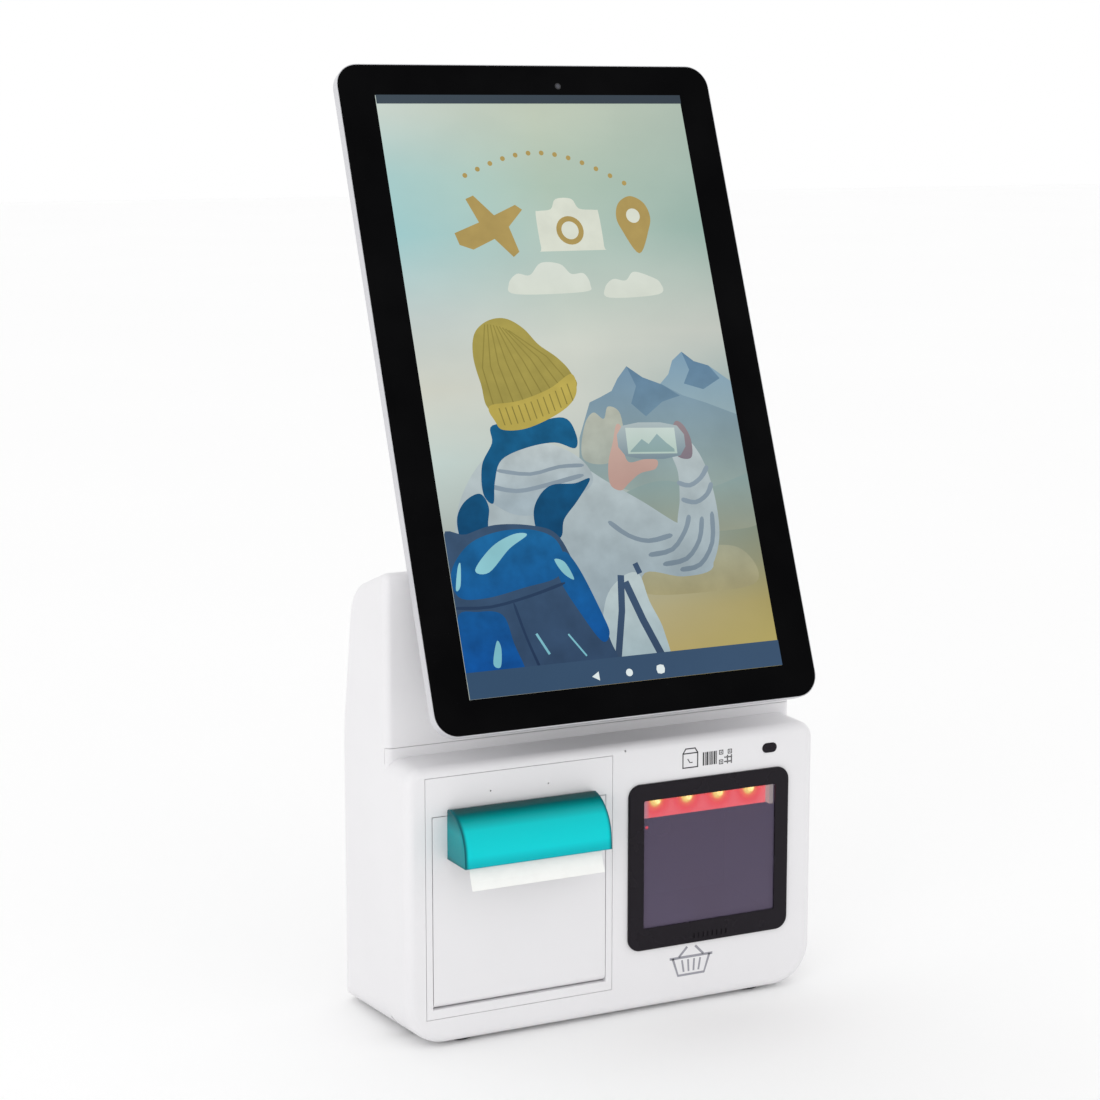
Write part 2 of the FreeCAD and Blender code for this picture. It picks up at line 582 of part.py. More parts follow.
def printer_door():
    """Drop-down door: a flat plate on a round barrel, with two arms that carry the platen."""
    skin = box(DOOR_X0, DOOR_X1, 0, WALL, HINGE_Z, DOOR_Z1)
    barrel = cyl_x(HINGE_Y, HINGE_Z, 4.0, DOOR_X0, DOOR_X1)
    shelf = box(-101.2, -18.8, WALL - EPS, 16.0, CUT_Z + 0.8, CUT_Z + 2.3)
    arms = []
    for x0, x1 in ((-103.5, -101.0), (-19.0, -16.5)):
        outline = [(WALL - EPS, 88), (8, 100), (18.6, 110), (18.6, CUT_Z + 2.3), (WALL - EPS, CUT_Z + 2.3)]
        arms.append(prism_x(outline, x0, x1))
    ribs = [box(x - 0.8, x + 0.8, WALL - EPS, 6.5, 32, 96) for x in (-98, -60, -22)]
    cross = [box(DOOR_X0 + 4, DOOR_X1 - 4, WALL - EPS, 5.5, z, z + 1.6) for z in (40, 66, 92)]
    door = fuse([skin, barrel, shelf] + arms + ribs + cross)
    paper_slot = box(-102, -18, -1, WALL + 0.2, SLOT_Z, DOOR_Z1 + 1)
    pin_holes = [cyl_x(HINGE_Y, HINGE_Z, DOOR_PIN_R + 0.05, DOOR_X0 - 1, DOOR_X0 + 9),
                 cyl_x(HINGE_Y, HINGE_Z, DOOR_PIN_R + 0.05, DOOR_X1 - 9, DOOR_X1 + 1)]
    bearing = cyl_x(PLATEN_Y, PLATEN_Z, SHAFT_R + 0.05, -104, -16)
    blade_seat = box(-101.5, -18.5, 9.0, 19.4, CUT_Z + 0.1, CUT_Z + 0.8)
    tab_holes = [box(x - 4, x + 4, -1, WALL + 1, 110, 112) for x in (-96, -24)]
    return cut(door, [paper_slot, bearing, blade_seat] + pin_holes + tab_holes)


def hood_outline(inset):
    """Side outline of the hood: flat lip at the door, then a quarter-round front."""
    depth = -(HOOD_DEPTH - inset)
    top = HOOD_Z1 - inset
    return [(0, HOOD_Z0), (0, top - 0.9), (-4.0, top),
            ((depth + 6.9, 127.6 - inset * 0.7), (depth + 0.4, 113.0)), (depth, HOOD_Z0 + 0.8)]


def exit_hood():
    outer = prism_x(hood_outline(0), HOOD_X0, HOOD_X1)
    rim = []
    for e in outer.Edges:
        b = e.BoundBox
        if b.XMax - b.XMin < EPS and b.YMin < -3.9 and b.ZMax > 107:
            rim.append(e)
    outer = outer.makeFillet(1.0, rim)
    inner = prism_x(hood_outline(HOOD_WALL), HOOD_X0 + HOOD_WALL, HOOD_X1 - HOOD_WALL)
    inner.translate(Vec(0, 0.5, -0.0))
    below = box(HOOD_X0 + HOOD_WALL, HOOD_X1 - HOOD_WALL, -(HOOD_DEPTH - HOOD_WALL), 1,
                HOOD_Z0 - 2, HOOD_Z0 + 2)
    hood = cut(outer, [inner, below, box(HOOD_X0 - 1, HOOD_X1 + 1, -GAP, 1, DOOR_Z1, HOOD_Z1 + 1)])
    tabs = []
    for x0 in (HOOD_X0 + HOOD_WALL, HOOD_X1 - HOOD_WALL - 6):
        tabs.append(box(x0, x0 + 6, -1.6, 0, 108, 114))
    hooks = [box(x - 3, x + 3, -1, WALL + 0.8, 110.2, 111.8) for x in (-96, -24)]
    return fuse([hood] + tabs + hooks)


def platen_shaft():
    return cyl_x(PLATEN_Y, PLATEN_Z, SHAFT_R, GEAR_X0 - 0.5, -14.5)


def platen_roller():
    sleeve = cyl_x(PLATEN_Y, PLATEN_Z, PLATEN_R, -100.4, -19.6)
    return sleeve.cut(cyl_x(PLATEN_Y, PLATEN_Z, SHAFT_R, -110, 0))


IDLER_BACK = 22.85
IDLER_Y = PLATEN_Y + IDLER_BACK
IDLER_Z = PLATEN_Z - math.sqrt((GEAR_M * (PLATEN_TEETH + IDLER_TEETH) / 2) ** 2 - IDLER_BACK ** 2)
PINION_ANGLE = math.radians(40)
PINION_REACH = GEAR_M * (IDLER_TEETH + PINION_TEETH) / 2
PINION_Y = IDLER_Y + PINION_REACH * math.cos(PINION_ANGLE)
PINION_Z = IDLER_Z + PINION_REACH * math.sin(PINION_ANGLE)
IDLER_PHASE = meshing_phase(0.0, PLATEN_TEETH, IDLER_TEETH, (PLATEN_Y, PLATEN_Z), (IDLER_Y, IDLER_Z))
PINION_PHASE = meshing_phase(IDLER_PHASE, IDLER_TEETH, PINION_TEETH, (IDLER_Y, IDLER_Z), (PINION_Y, PINION_Z))


def platen_gear():
    return gear(PLATEN_TEETH, PLATEN_Y, PLATEN_Z, 0.0, GEAR_X0, GEAR_X1, SHAFT_R)


def idler_gear():
    wheel = gear(IDLER_TEETH, IDLER_Y, IDLER_Z, IDLER_PHASE, GEAR_X0, GEAR_X1, 2.05)
    ring = cyl_x(IDLER_Y, IDLER_Z, 12.5, GEAR_X0 - 1, GEAR_X0 + 1).cut(
        cyl_x(IDLER_Y, IDLER_Z, 4.5, GEAR_X0 - 2, GEAR_X0 + 2))
    return wheel.cut(ring)


def motor_pinion():
    """Pinion cut on the end of the motor's shaft."""
    shaft = cyl_x(PINION_Y, PINION_Z, 1.5, GEAR_X0 - 0.5, -98.0)
    return fuse([gear(PINION_TEETH, PINION_Y, PINION_Z, PINION_PHASE, GEAR_X0, GEAR_X1, 1.4), shaft])


def feed_motor():
    can = cyl_x(PINION_Y, PINION_Z, 11.0, -103.1, -82)
    boss = cyl_x(PINION_Y, PINION_Z, 9.5, -82.1, -80.5)
    plug = box(-97, -85, PINION_Y + 9, PINION_Y + 14, PINION_Z - 4, PINION_Z + 4)
    well = cyl_x(PINION_Y, PINION_Z, 1.55, -104, -97.5)
    return fuse([can, boss, plug]).cut(well)


def printer_chassis():
    """Folded steel channel that carries the print head, the gears and the paper bucket."""
    cheeks = []
    for x0 in (-104.2, -16.8):
        outline = [(30.5, 2.1), (82, 2.1), (82, 96), (66, 100), (66, 138), (22.2, 138), (22.2, 12)]
        cheeks.append(prism_x(outline, x0, x0 + 1.0))
    floor = box(-103.3, -16.7, 24, 82, 10, 11)
    bridge = box(-103.3, -16.7, 33, 34.2, 96, 121.5)
    top = box(-103.3, -16.7, 24, 42, 136.9, 138)
    motor_hole = cyl_x(PINION_Y, PINION_Z, 6.0, -105, -103)
    idler_pin = [cyl_x(IDLER_Y, IDLER_Z, 2.0, GEAR_X0 - 1.2, -104.1),
                 cyl_x(IDLER_Y, IDLER_Z, 3.2, GEAR_X0 - 1.2, GEAR_X0 - 0.2)]
    return fuse(cheeks + [floor, bridge, top] + idler_pin).cut(motor_hole)


def print_head():
    """Aluminium carrier with the ceramic heater strip on its front face."""
    carrier = box(-102.8, -17.2, 21.0, 25.4, 102, 122.4)
    strip = box(-101, -19, 20.3, 21.05, 108, 121.5)
    return fuse([carrier, strip])


def head_springs():
    springs = []
    for x in (-84, -36):
        for i in range(4):
            y = 26.5 + i * 1.85
            ring = Part.makeTorus(2.6, 0.4, Vec(x, y, 112), Vec(0, 1, 0))
            springs.append(ring)
        springs.append(box(x - 3.1, x - 2.2, 25.45, 32.9, 111.7, 112.3))
    return group([fuse(springs[:5]), fuse(springs[5:])])


def cutter_housing():
    body = box(-102.9, -17.1, 21.8, 40.0, CUT_Z + 0.3, 136.6)
    hollow = box(-98, -22, 24, 38, CUT_Z + 2.5, 134.6)
    guides = [cyl_z(x, 27.4, 2.0, CUT_Z - 1.2, CUT_Z + 0.4) for x in (-80, -40)]
    return fuse([body.cut(hollow)] + guides)


def cutter_motor():
    can = cyl_x(49.0, 116.0, 7.5, -74, -48)
    tail = cyl_x(49.0, 116.0, 1.2, -48.1, -42)
    return fuse([can, tail, box(-74, -71, 40.05, 55, 109, 134)])


def cutter_blade():
    """Moving guillotine blade with a shallow V edge, slotted for its two guide pins."""
    z0, z1 = CUT_Z - 0.65, CUT_Z - 0.05
    x0, x1, mid = -100.6, -19.4, PRINTER_X
    outline = [(x0, 39.0), (x0, 21.4), (mid, 22.8), (x1, 21.4), (x1, 39.0), (x0, 39.0)]
    face = Part.Face(Part.makePolygon([Vec(x, y, z0) for x, y in outline]))
    slots = []
    for x in (-80, -40):
        slots.append(box(x - 2.2, x + 2.2, 27.2, 34.8, z0 - 1, z1 + 1))
        slots += [cyl_z(x, y, 2.2, z0 - 1, z1 + 1) for y in (27.2, 34.8)]
    return face.extrude(Vec(0, 0, z1 - z0)).cut(slots)


def fixed_blade():
    return box(-101.4, -18.6, 9.0, 19.3, CUT_Z + 0.1, CUT_Z + 0.75)


def paper_bucket():
    """Trough the roll drops into, with end cheeks."""
    outer_r, inner_r, cz = 38.6, 37.0, 52.0
    trough = cyl_x(ROLL_Y, cz, outer_r, -102.8, -17.2)
    trough = trough.cut(cyl_x(ROLL_Y, cz, inner_r, -101.2, -18.8))
    trough = trough.common(box(-103, -17, 12.9, 84, 5, 66))
    trough = trough.cut(box(-110, 0, 5, 20.5, 52, 70))
    mouth = cyl_x(ROLL_Y, cz, 20.0, -104, -16)
    legs = [box(x, x + 2, 40, 60, 11.05, 14.6) for x in (-95, -27)]
    return fuse([trough.cut(mouth)] + legs)


def paper_roll():
    return cyl_x(ROLL_Y, ROLL_Z, ROLL_R, PAPER_X0, PAPER_X1).cut(cyl_x(ROLL_Y, ROLL_Z, 8.0, -110, 0))


def roll_core():
    return cyl_x(ROLL_Y, ROLL_Z, 8.0, PAPER_X0, PAPER_X1).cut(cyl_x(ROLL_Y, ROLL_Z, 6.3, -110, 0))


def paper_web():
    """Paper between the roll and the cut line."""
    start = math.pi - 0.02
    y0 = ROLL_Y + (ROLL_R + 0.3) * math.cos(start)
    z0 = ROLL_Z + (ROLL_R + 0.3) * math.sin(start)
    return ribbon_x([(y0, z0), (17.0, 62.0), (18.4, 85.0), (WEB_Y, 106.0), (WEB_Y, CUT_Z - 0.75)],
                    PAPER_T, PAPER_X0, PAPER_X1)


def receipt_slip():
    """Cut receipt: over the door's shelf, through the slot and down inside the hood."""
    turn_r = 3.0
    crest = CUT_Z + 1.2 + turn_r
    path = [(WEB_Y, CUT_Z + 1.0)]
    path += arc_points(WEB_Y - turn_r, CUT_Z + 1.2, turn_r, 5, 90, 6)
    path += [(8.0, crest), (-2.0, crest)]
    drop_r = 17.0
    path += arc_points(-2.0, crest - drop_r, drop_r, 97, 176, 9)
    path += [(-19.9, 106.0), (-20.8, 102.5), (-22.4, 98.0), (-24.3, 93.8)]
    return ribbon_x(path, PAPER_T, PAPER_X0, PAPER_X1)


# ---------------------------------------------------------------- barcode reader
def scanner_bezel():
    frame = slab(SCAN_X0, SCAN_X1, SCAN_Z0, SCAN_Z1, 7.5, -2.0, 0)
    rim = [e for e in frame.Edges if e.BoundBox.YMax < -2.0 + EPS]
    frame = frame.makeFillet(1.0, rim)
    spigot = slab(SCAN_X0 + 5.2, SCAN_X1 - 5.2, SCAN_Z0 + 8.2, SCAN_Z1 - 6.2, 3, -EPS, WALL)
    window = slab(WIN_X0, WIN_X1, WIN_Z0, WIN_Z1, 1.0, -3, 5)
    rebate = slab(WIN_X0 - 2, WIN_X1 + 2, WIN_Z0 - 2, WIN_Z1 + 2, 1.5, -1.1, 5)
    ticks = [box(48.0 + i * 3.0, 49.0 + i * 3.0, -2.1, -1.5, 38.5, 41.5) for i in range(8)]
    return cut(fuse([frame, spigot]), [window, rebate] + ticks)


def scanner_window():
    return slab(WIN_X0 - 1.8, WIN_X1 + 1.8, WIN_Z0 - 1.8, WIN_Z1 + 1.8, 1.4, -1.05, 0.45)


def scanner_housing():
    """Deep box behind the window, open to the front."""
    outer = box(SCAN_X0 + 5.4, SCAN_X1 - 5.4, WALL + 0.1, 62, SCAN_Z0 + 8, SCAN_Z1 - 2.0)
    inner = box(SCAN_X0 + 7.4, SCAN_X1 - 7.4, 0, 60, SCAN_Z0 + 10, SCAN_Z1 - 4.0)
    lens = cyl_y(LENS_X, LENS_Z, LENS_R + 0.2, 55, 65)
    return outer.cut(inner).cut(lens)


def light_bar():
    """Diffuser behind the lamps, with a block at its right end that comes forward to the window."""
    strip = box(WIN_X0 - 1, BAR_LIT_X1 + 1, BAR_Y, BAR_Y + 2, BAR_Z0, WIN_Z1 + 1.2)
    end = box(BAR_LIT_X1, SCAN_X1 - 7.6, 3.0, BAR_Y + 2, BAR_Z0, WIN_Z1 + 1.2)
    return fuse([strip, end])


def lamp_board():
    return box(WIN_X0, WIN_X1, 2.7, 16, WIN_Z1 + 2.0, WIN_Z1 + 3.4)


def scan_lamps():
    lamps = []
    for x in LAMP_X:
        stem = cyl_z(x, LAMP_Y, LAMP_R, LAMP_Z, WIN_Z1 + 1.95)
        dome = Part.makeSphere(LAMP_R, Vec(x, LAMP_Y, LAMP_Z), Vec(0, 0, 1), -90, 0, 360)
        lamps.append(fuse([stem, dome]))
    return group(lamps)


def scanner_lens():
    return cyl_y(LENS_X, LENS_Z, LENS_R, 56, 66).cut(cyl_y(LENS_X, LENS_Z, 6.2, 55, 60))


def scanner_board():
    board = box(28, 90, 66.05, 67.6, 62, 114)
    chips = [box(50, 66, 67.55, 69.2, 66, 80), box(72, 86, 67.55, 71, 98, 108)]
    return fuse([board] + chips)


def presence_window():
    lens = slab(SENSOR_X - SENSOR_W / 2 + 0.1, SENSOR_X + SENSOR_W / 2 - 0.1, SENSOR_Z - SENSOR_H / 2 + 0.1,
                SENSOR_Z + SENSOR_H / 2 - 0.1, SENSOR_H / 2 - 0.15, -0.3, WALL)
    flange = box(SENSOR_X - 7, SENSOR_X + 7, WALL + 0.02, WALL + 1.0, SENSOR_Z - 4.5, SENSOR_Z + 4.5)
    neck = slab(SENSOR_X - 4, SENSOR_X + 4, SENSOR_Z - 2, SENSOR_Z + 2, 1.9, WALL - EPS, WALL + 0.1)
    return fuse([lens, neck, flange])


def presence_sensor():
    board = box(SENSOR_X - 8, SENSOR_X + 8, 5.0, 6.2, SENSOR_Z - 6, SENSOR_Z + 6)
    eyes = [cyl_y(SENSOR_X + s * 2.4, SENSOR_Z, 1.4, 3.6, 5.05) for s in (-1, 1)]
    return fuse([board] + eyes)


# ---------------------------------------------------------------- ports and power
PORTS = {
    "lan": (22.0, 38.4, PORT_Z0, PORT_Z0 + 13.6),
    "usb_a": (42.0, 56.4, PORT_Z0, PORT_Z0 + 7.4),
    "usb_b": (60.0, 74.4, PORT_Z0, PORT_Z0 + 7.4),
}
DC_X, DC_Z = 83.0, PORT_Z0 + 4.6
BUTTON_X, BUTTON_Z, BUTTON_R = 60.0, 80.0, 5.0
PORTS["dc"] = (DC_X - 4.6, DC_X + 4.6, PORT_Z0, PORT_Z0 + 9.2)


def port_board():
    board = box(16, 92, 52, 91, PORT_Z0 - 1.6, PORT_Z0 - 0.02)
    header = box(22.05, 30, LOOM_Y - 4, LOOM_Y + 4, PORT_Z0 - 0.05, PORT_Z0 + 6.0)
    posts = [cyl_z(x, y, 2.5, 2.05, PORT_Z0 - 1.55) for x in (20, 88) for y in (66, 80)]
    chips = [box(30, 42, 66, 76, PORT_Z0 - 0.05, PORT_Z0 + 1.6),
             box(60, 70, 64, 72, PORT_Z0 - 0.05, PORT_Z0 + 5)]
    return fuse([board, header] + posts + chips)


def shell_of(name):
    x0, x1, z0, z1 = PORTS[name]
    return box(x0 + 0.2, x1 - 0.2, 78, BODY_D - 0.4, z0 + 0.05, z1 - 0.2)


def usb_ports():
    ports = []
    for name in ("usb_a", "usb_b"):
        x0, x1, z0, z1 = PORTS[name]
        cavity = box(x0 + 0.9, x1 - 0.9, 83, BODY_D + 1, z0 + 0.75, z1 - 0.9)
        tongue = box(x0 + 2.0, x1 - 2.0, 82.9, BODY_D - 1.6, z1 - 3.0, z1 - 0.85)
        ports.append(fuse([shell_of(name).cut(cavity), tongue]))
    return group(ports)


def lan_port():
    x0, x1, z0, z1 = PORTS["lan"]
    cavity = box(x0 + 2.2, x1 - 2.2, 82, BODY_D + 1, z0 + 2.4, z1 - 2.4)
    latch = box(x0 + 5.2, x1 - 5.2, 82, BODY_D + 1, z0 + 1.0, z0 + 2.5)
    return shell_of("lan").cut(cavity).cut(latch)


def dc_inlet():
    body = shell_of("dc").cut(cyl_y(DC_X, DC_Z, 3.2, 82, BODY_D + 1))
    return fuse([body, cyl_y(DC_X, DC_Z, 1.0, 81.9, BODY_D - 1.5)])


def power_button():
    cap = cyl_y(BUTTON_X, BUTTON_Z, BUTTON_R, 91.2, BODY_D + 1.8)
    rim = [e for e in cap.Edges if e.BoundBox.YMin > BODY_D + 1.8 - EPS]
    cap = cap.makeFillet(0.6, rim)
    flange = cyl_y(BUTTON_X, BUTTON_Z, BUTTON_R + 1.0, 91.2, 92.3)
    return fuse([cap, flange])


def button_spring():
    rings = [Part.makeTorus(3.0, 0.3, Vec(BUTTON_X, 88.95 + i * 0.62, BUTTON_Z), Vec(0, 1, 0))
             for i in range(4)]
    link = box(BUTTON_X - 0.25, BUTTON_X + 0.25, 88.7, 91.1, BUTTON_Z + 2.75, BUTTON_Z + 3.25)
    return fuse(rings + [link])


def rounded_path(points, r):
    """Wire through the points, with every corner turned on an arc of radius r."""
    edges = []
    last = points[0]
    for a, b, c in zip(points, points[1:], points[2:]):
        back = (a - b).normalize()
        ahead = (c - b).normalize()
        half = back.getAngle(ahead) / 2
        leg = r / math.tan(half)
        bisect = (back + ahead).normalize()
        mid = b + bisect * (r / math.sin(half) - r)
        edges.append(Part.LineSegment(last, b + back * leg).toShape())
        edges.append(Part.Arc(b + back * leg, mid, b + ahead * leg).toShape())
        last = b + ahead * leg
    edges.append(Part.LineSegment(last, points[-1]).toShape())
    return Part.Wire(edges)


def wiring_loom():
    """Main loom: off the port board, up the middle of the housing and out towards the display."""
    path = rounded_path([Vec(22, LOOM_Y, 20.3), Vec(0, LOOM_Y, 20.3), Vec(0, LOOM_Y, LOOM_Z),
                         Vec(0, NECK_Y + 3.0, LOOM_Z)], 14.0)
    ring = Part.Wire(Part.makeCircle(LOOM_R, Vec(22, LOOM_Y, 20.3), Vec(1, 0, 0)))
    return path.makePipeShell([ring], True, True)


# ---------------------------------------------------------------- export
NODES = [
    front_cover, rear_housing, rear_panel, rear_panel_screws, base_plate, rubber_feet,
    chassis_frame, neck_frame, hinge_bracket, hinge_bracket_screws, hinge_pins, friction_washers,
    touch_glass, display_frame, lcd_panel, camera_module, display_rear_cover,
    display_bracket, display_bracket_screws, main_board, speakers,
    printer_bezel, door_hinge_pins, printer_door, exit_hood, fixed_blade, receipt_slip,
    platen_shaft, platen_roller, platen_gear, idler_gear, motor_pinion, feed_motor,
    printer_chassis, print_head, head_springs, cutter_housing, cutter_motor, cutter_blade,
    paper_bucket, paper_roll, roll_core, paper_web,
    scanner_bezel, scanner_window, scanner_housing, light_bar, lamp_board, scan_lamps,
    scanner_lens, scanner_board, presence_window, presence_sensor,
    port_board, usb_ports, lan_port, dc_inlet, power_button, button_spring,
    wiring_loom,
]


def main():
    os.makedirs("parts", exist_ok=True)
    shapes = {make.__name__: make() for make in NODES}
    boxes = [shape.optimalBoundingBox(False, False) for shape in shapes.values()]
    middle_y = (min(b.YMin for b in boxes) + max(b.YMax for b in boxes)) / 2
    for name, shape in shapes.items():
        shape.translate(Vec(0, -middle_y, FOOT_H))
        shape.exportStep(os.path.join("parts", name + ".step"))


main()
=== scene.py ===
import json
import math

import bpy
from mathutils import Matrix, Vector


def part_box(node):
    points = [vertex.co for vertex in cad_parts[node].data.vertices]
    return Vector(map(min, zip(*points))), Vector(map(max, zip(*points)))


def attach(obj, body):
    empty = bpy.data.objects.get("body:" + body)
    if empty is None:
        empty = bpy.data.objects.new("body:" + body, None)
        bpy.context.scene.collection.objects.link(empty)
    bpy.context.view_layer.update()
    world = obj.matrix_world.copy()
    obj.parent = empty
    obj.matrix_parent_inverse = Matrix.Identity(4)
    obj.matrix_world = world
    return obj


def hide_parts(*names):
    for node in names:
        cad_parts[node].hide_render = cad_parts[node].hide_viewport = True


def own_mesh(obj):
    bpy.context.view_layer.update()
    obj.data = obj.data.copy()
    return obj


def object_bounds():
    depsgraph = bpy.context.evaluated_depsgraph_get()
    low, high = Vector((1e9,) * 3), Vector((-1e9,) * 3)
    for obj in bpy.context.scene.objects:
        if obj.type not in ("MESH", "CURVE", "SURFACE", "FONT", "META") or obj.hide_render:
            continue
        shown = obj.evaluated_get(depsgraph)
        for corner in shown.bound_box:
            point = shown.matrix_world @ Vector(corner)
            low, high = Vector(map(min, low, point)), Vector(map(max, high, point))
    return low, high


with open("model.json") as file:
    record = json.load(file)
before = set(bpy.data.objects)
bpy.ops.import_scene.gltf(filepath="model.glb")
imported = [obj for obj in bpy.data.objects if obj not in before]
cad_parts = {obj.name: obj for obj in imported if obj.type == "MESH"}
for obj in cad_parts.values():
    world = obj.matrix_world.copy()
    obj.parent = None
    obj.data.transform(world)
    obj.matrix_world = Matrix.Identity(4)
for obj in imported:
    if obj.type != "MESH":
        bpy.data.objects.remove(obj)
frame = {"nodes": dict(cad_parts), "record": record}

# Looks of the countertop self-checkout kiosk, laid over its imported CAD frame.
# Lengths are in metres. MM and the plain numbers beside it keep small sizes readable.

CAD_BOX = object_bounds()
MM = 0.001

ACTIVE_W = 193.6          # lit area of the display, mm
ACTIVE_H = 344.2
BAR_TOP = 14.5            # height of the navigation bar
STATUS_LOW = 338.9        # lower edge of the status bar
LAYER = 0.02              # thickness of one layer of the picture
LIT_BEHIND_GLASS = 7.6    # strength of the lamps' light as seen through the smoked window


# ---------------------------------------------------------------- shader helpers
def srgb(r, g, b):
    """Linear colour from 0-255 display values."""
    linear = []
    for v in (r / 255, g / 255, b / 255):
        linear.append(v / 12.92 if v <= 0.04045 else ((v + 0.055) / 1.055) ** 2.4)
    return (*linear, 1.0)


class Paint:
    """A Principled material, with short calls for the nodes that feed it."""

    def __init__(self, name, colour, roughness, metallic=0.0):
        self.mat = bpy.data.materials.new(name)
        self.mat.use_nodes = True
        self.nodes = self.mat.node_tree.nodes
        self.bsdf = self.nodes["Principled BSDF"]
        self.set("Base Color", colour)
        self.set("Roughness", roughness)
        self.set("Metallic", metallic)
        self.coords = self.nodes.new("ShaderNodeTexCoord").outputs["Object"]

    def set(self, socket, value):
        self.bsdf.inputs[socket].default_value = value

    def link(self, source, target):
        self.mat.node_tree.links.new(source, target)

    def feed(self, socket, source):
        self.link(source, self.bsdf.inputs[socket])

    def stretched(self, x, y, z):
        """The object's coordinates, scaled along each axis."""
        node = self.nodes.new("ShaderNodeMapping")
        node.inputs["Scale"].default_value = (x, y, z)
        self.link(self.coords, node.inputs["Vector"])
        return node.outputs["Vector"]

    def noise(self, scale, detail=2.0, coords=None):
        node = self.nodes.new("ShaderNodeTexNoise")
        node.inputs["Scale"].default_value = scale
        node.inputs["Detail"].default_value = detail
        self.link(coords or self.coords, node.inputs["Vector"])
        return node.outputs["Fac"]

    def axis(self, name):
        node = self.nodes.new("ShaderNodeSeparateXYZ")
        self.link(self.coords, node.inputs["Vector"])
        return node.outputs[name]

    def facing(self, name):
        """One part of the surface's own direction, in the object's axes."""
        normal = self.nodes.new("ShaderNodeTexCoord").outputs["Normal"]
        node = self.nodes.new("ShaderNodeSeparateXYZ")
        self.link(normal, node.inputs["Vector"])
        return node.outputs[name]

    def math(self, operation, a, b=0.0):
        node = self.nodes.new("ShaderNodeMath")
        node.operation = operation
        for socket, value in zip(node.inputs, (a, b)):
            if isinstance(value, (int, float)):
                socket.default_value = value
            else:
                self.link(value, socket)
        return node.outputs[0]

    def span(self, value, low, high, to_low=0.0, to_high=1.0):
        node = self.nodes.new("ShaderNodeMapRange")
        self.link(value, node.inputs["Value"])
        for socket, number in zip(("From Min", "From Max", "To Min", "To Max"), (low, high, to_low, to_high)):
            node.inputs[socket].default_value = number
        return node.outputs["Result"]

    def ramp(self, fac, stops):
        node = self.nodes.new("ShaderNodeValToRGB")
        band = node.color_ramp
        while len(band.elements) < len(stops):
            band.elements.new(0.5)
        for element, (place, colour) in zip(band.elements, stops):
            element.position = place
            element.color = colour
        self.link(fac, node.inputs["Fac"])
        return node.outputs["Color"]

    def mix(self, fac, a, b, blend="MIX"):
        node = self.nodes.new("ShaderNodeMix")
        node.data_type = "RGBA"
        node.blend_type = blend
        colours = [s for s in node.inputs if s.type == "RGBA"]
        for socket, value in ((node.inputs["Factor"], fac), (colours[0], a), (colours[1], b)):
            if isinstance(value, (int, float, tuple)):
                socket.default_value = value
            else:
                self.link(value, socket)
        return next(s for s in node.outputs if s.type == "RGBA")

    def bump(self, height, strength, distance):
        node = self.nodes.new("ShaderNodeBump")
        node.inputs["Strength"].default_value = strength
        node.inputs["Distance"].default_value = distance
        self.link(height, node.inputs["Height"])
        self.feed("Normal", node.outputs["Normal"])

    def mottled(self, colour, depth, scale):
        """Base colour with a faint, broad change of tone."""
        dark = tuple(c * (1 - depth) for c in colour[:3]) + (1.0,)
        self.feed("Base Color", self.ramp(self.noise(scale, 3.0), [(0.35, dark), (0.65, colour)]))

    def uneven_gloss(self, low, high, scale):
        self.feed("Roughness", self.span(self.noise(scale, 4.0), 0.35, 0.65, low, high))


# ---------------------------------------------------------------- materials
def moulded(name, colour, roughness, grain=1500.0, relief=0.12, coat=0.0, specular=0.45):
    """Injection-moulded plastic: spark-eroded grain, faint tone change, slightly uneven gloss."""
    p = Paint(name, colour, roughness)
    p.mottled(colour, 0.02, 9.0)
    p.uneven_gloss(roughness - 0.05, roughness + 0.05, 40.0)
    if relief:
        p.bump(p.noise(grain, 1.0), relief, 0.00006)
    p.set("Coat Weight", coat)
    p.set("Specular IOR Level", specular)
    return p.mat


def folded_steel(name, colour, roughness, along=(1.0, 1.0, 30.0)):
    """Rolled sheet: fine lines along the sheet and a light change of gloss."""
    p = Paint(name, colour, roughness, 1.0)
    lines = p.noise(140.0, 3.0, p.stretched(*along))
    p.feed("Roughness", p.span(lines, 0.3, 0.7, roughness - 0.08, roughness + 0.1))
    p.bump(lines, 0.08, 0.00005)
    return p.mat


def satin_paint(name, colour):
    """Silver lacquer over metal: fine flake under a soft clear coat."""
    p = Paint(name, colour, 0.36, 0.55)
    flake = p.noise(5200.0, 1.0)
    dark = tuple(c * 0.9 for c in colour[:3]) + (1.0,)
    p.feed("Base Color", p.ramp(flake, [(0.3, dark), (0.7, colour)]))
    p.set("Coat Weight", 0.35)
    p.set("Coat Roughness", 0.2)
    return p.mat


def printed_glass():
    """Cover glass with black printing behind it, and the faint film that fingers leave."""
    p = Paint("printed_glass", srgb(4, 4, 5), 0.07)
    film = p.noise(22.0, 5.0)
    p.feed("Roughness", p.span(film, 0.35, 0.7, 0.05, 0.13))
    p.feed("Base Color", p.ramp(film, [(0.35, srgb(3, 3, 4)), (0.7, srgb(8, 8, 9))]))
    p.set("Specular IOR Level", 0.025)
    return p.mat


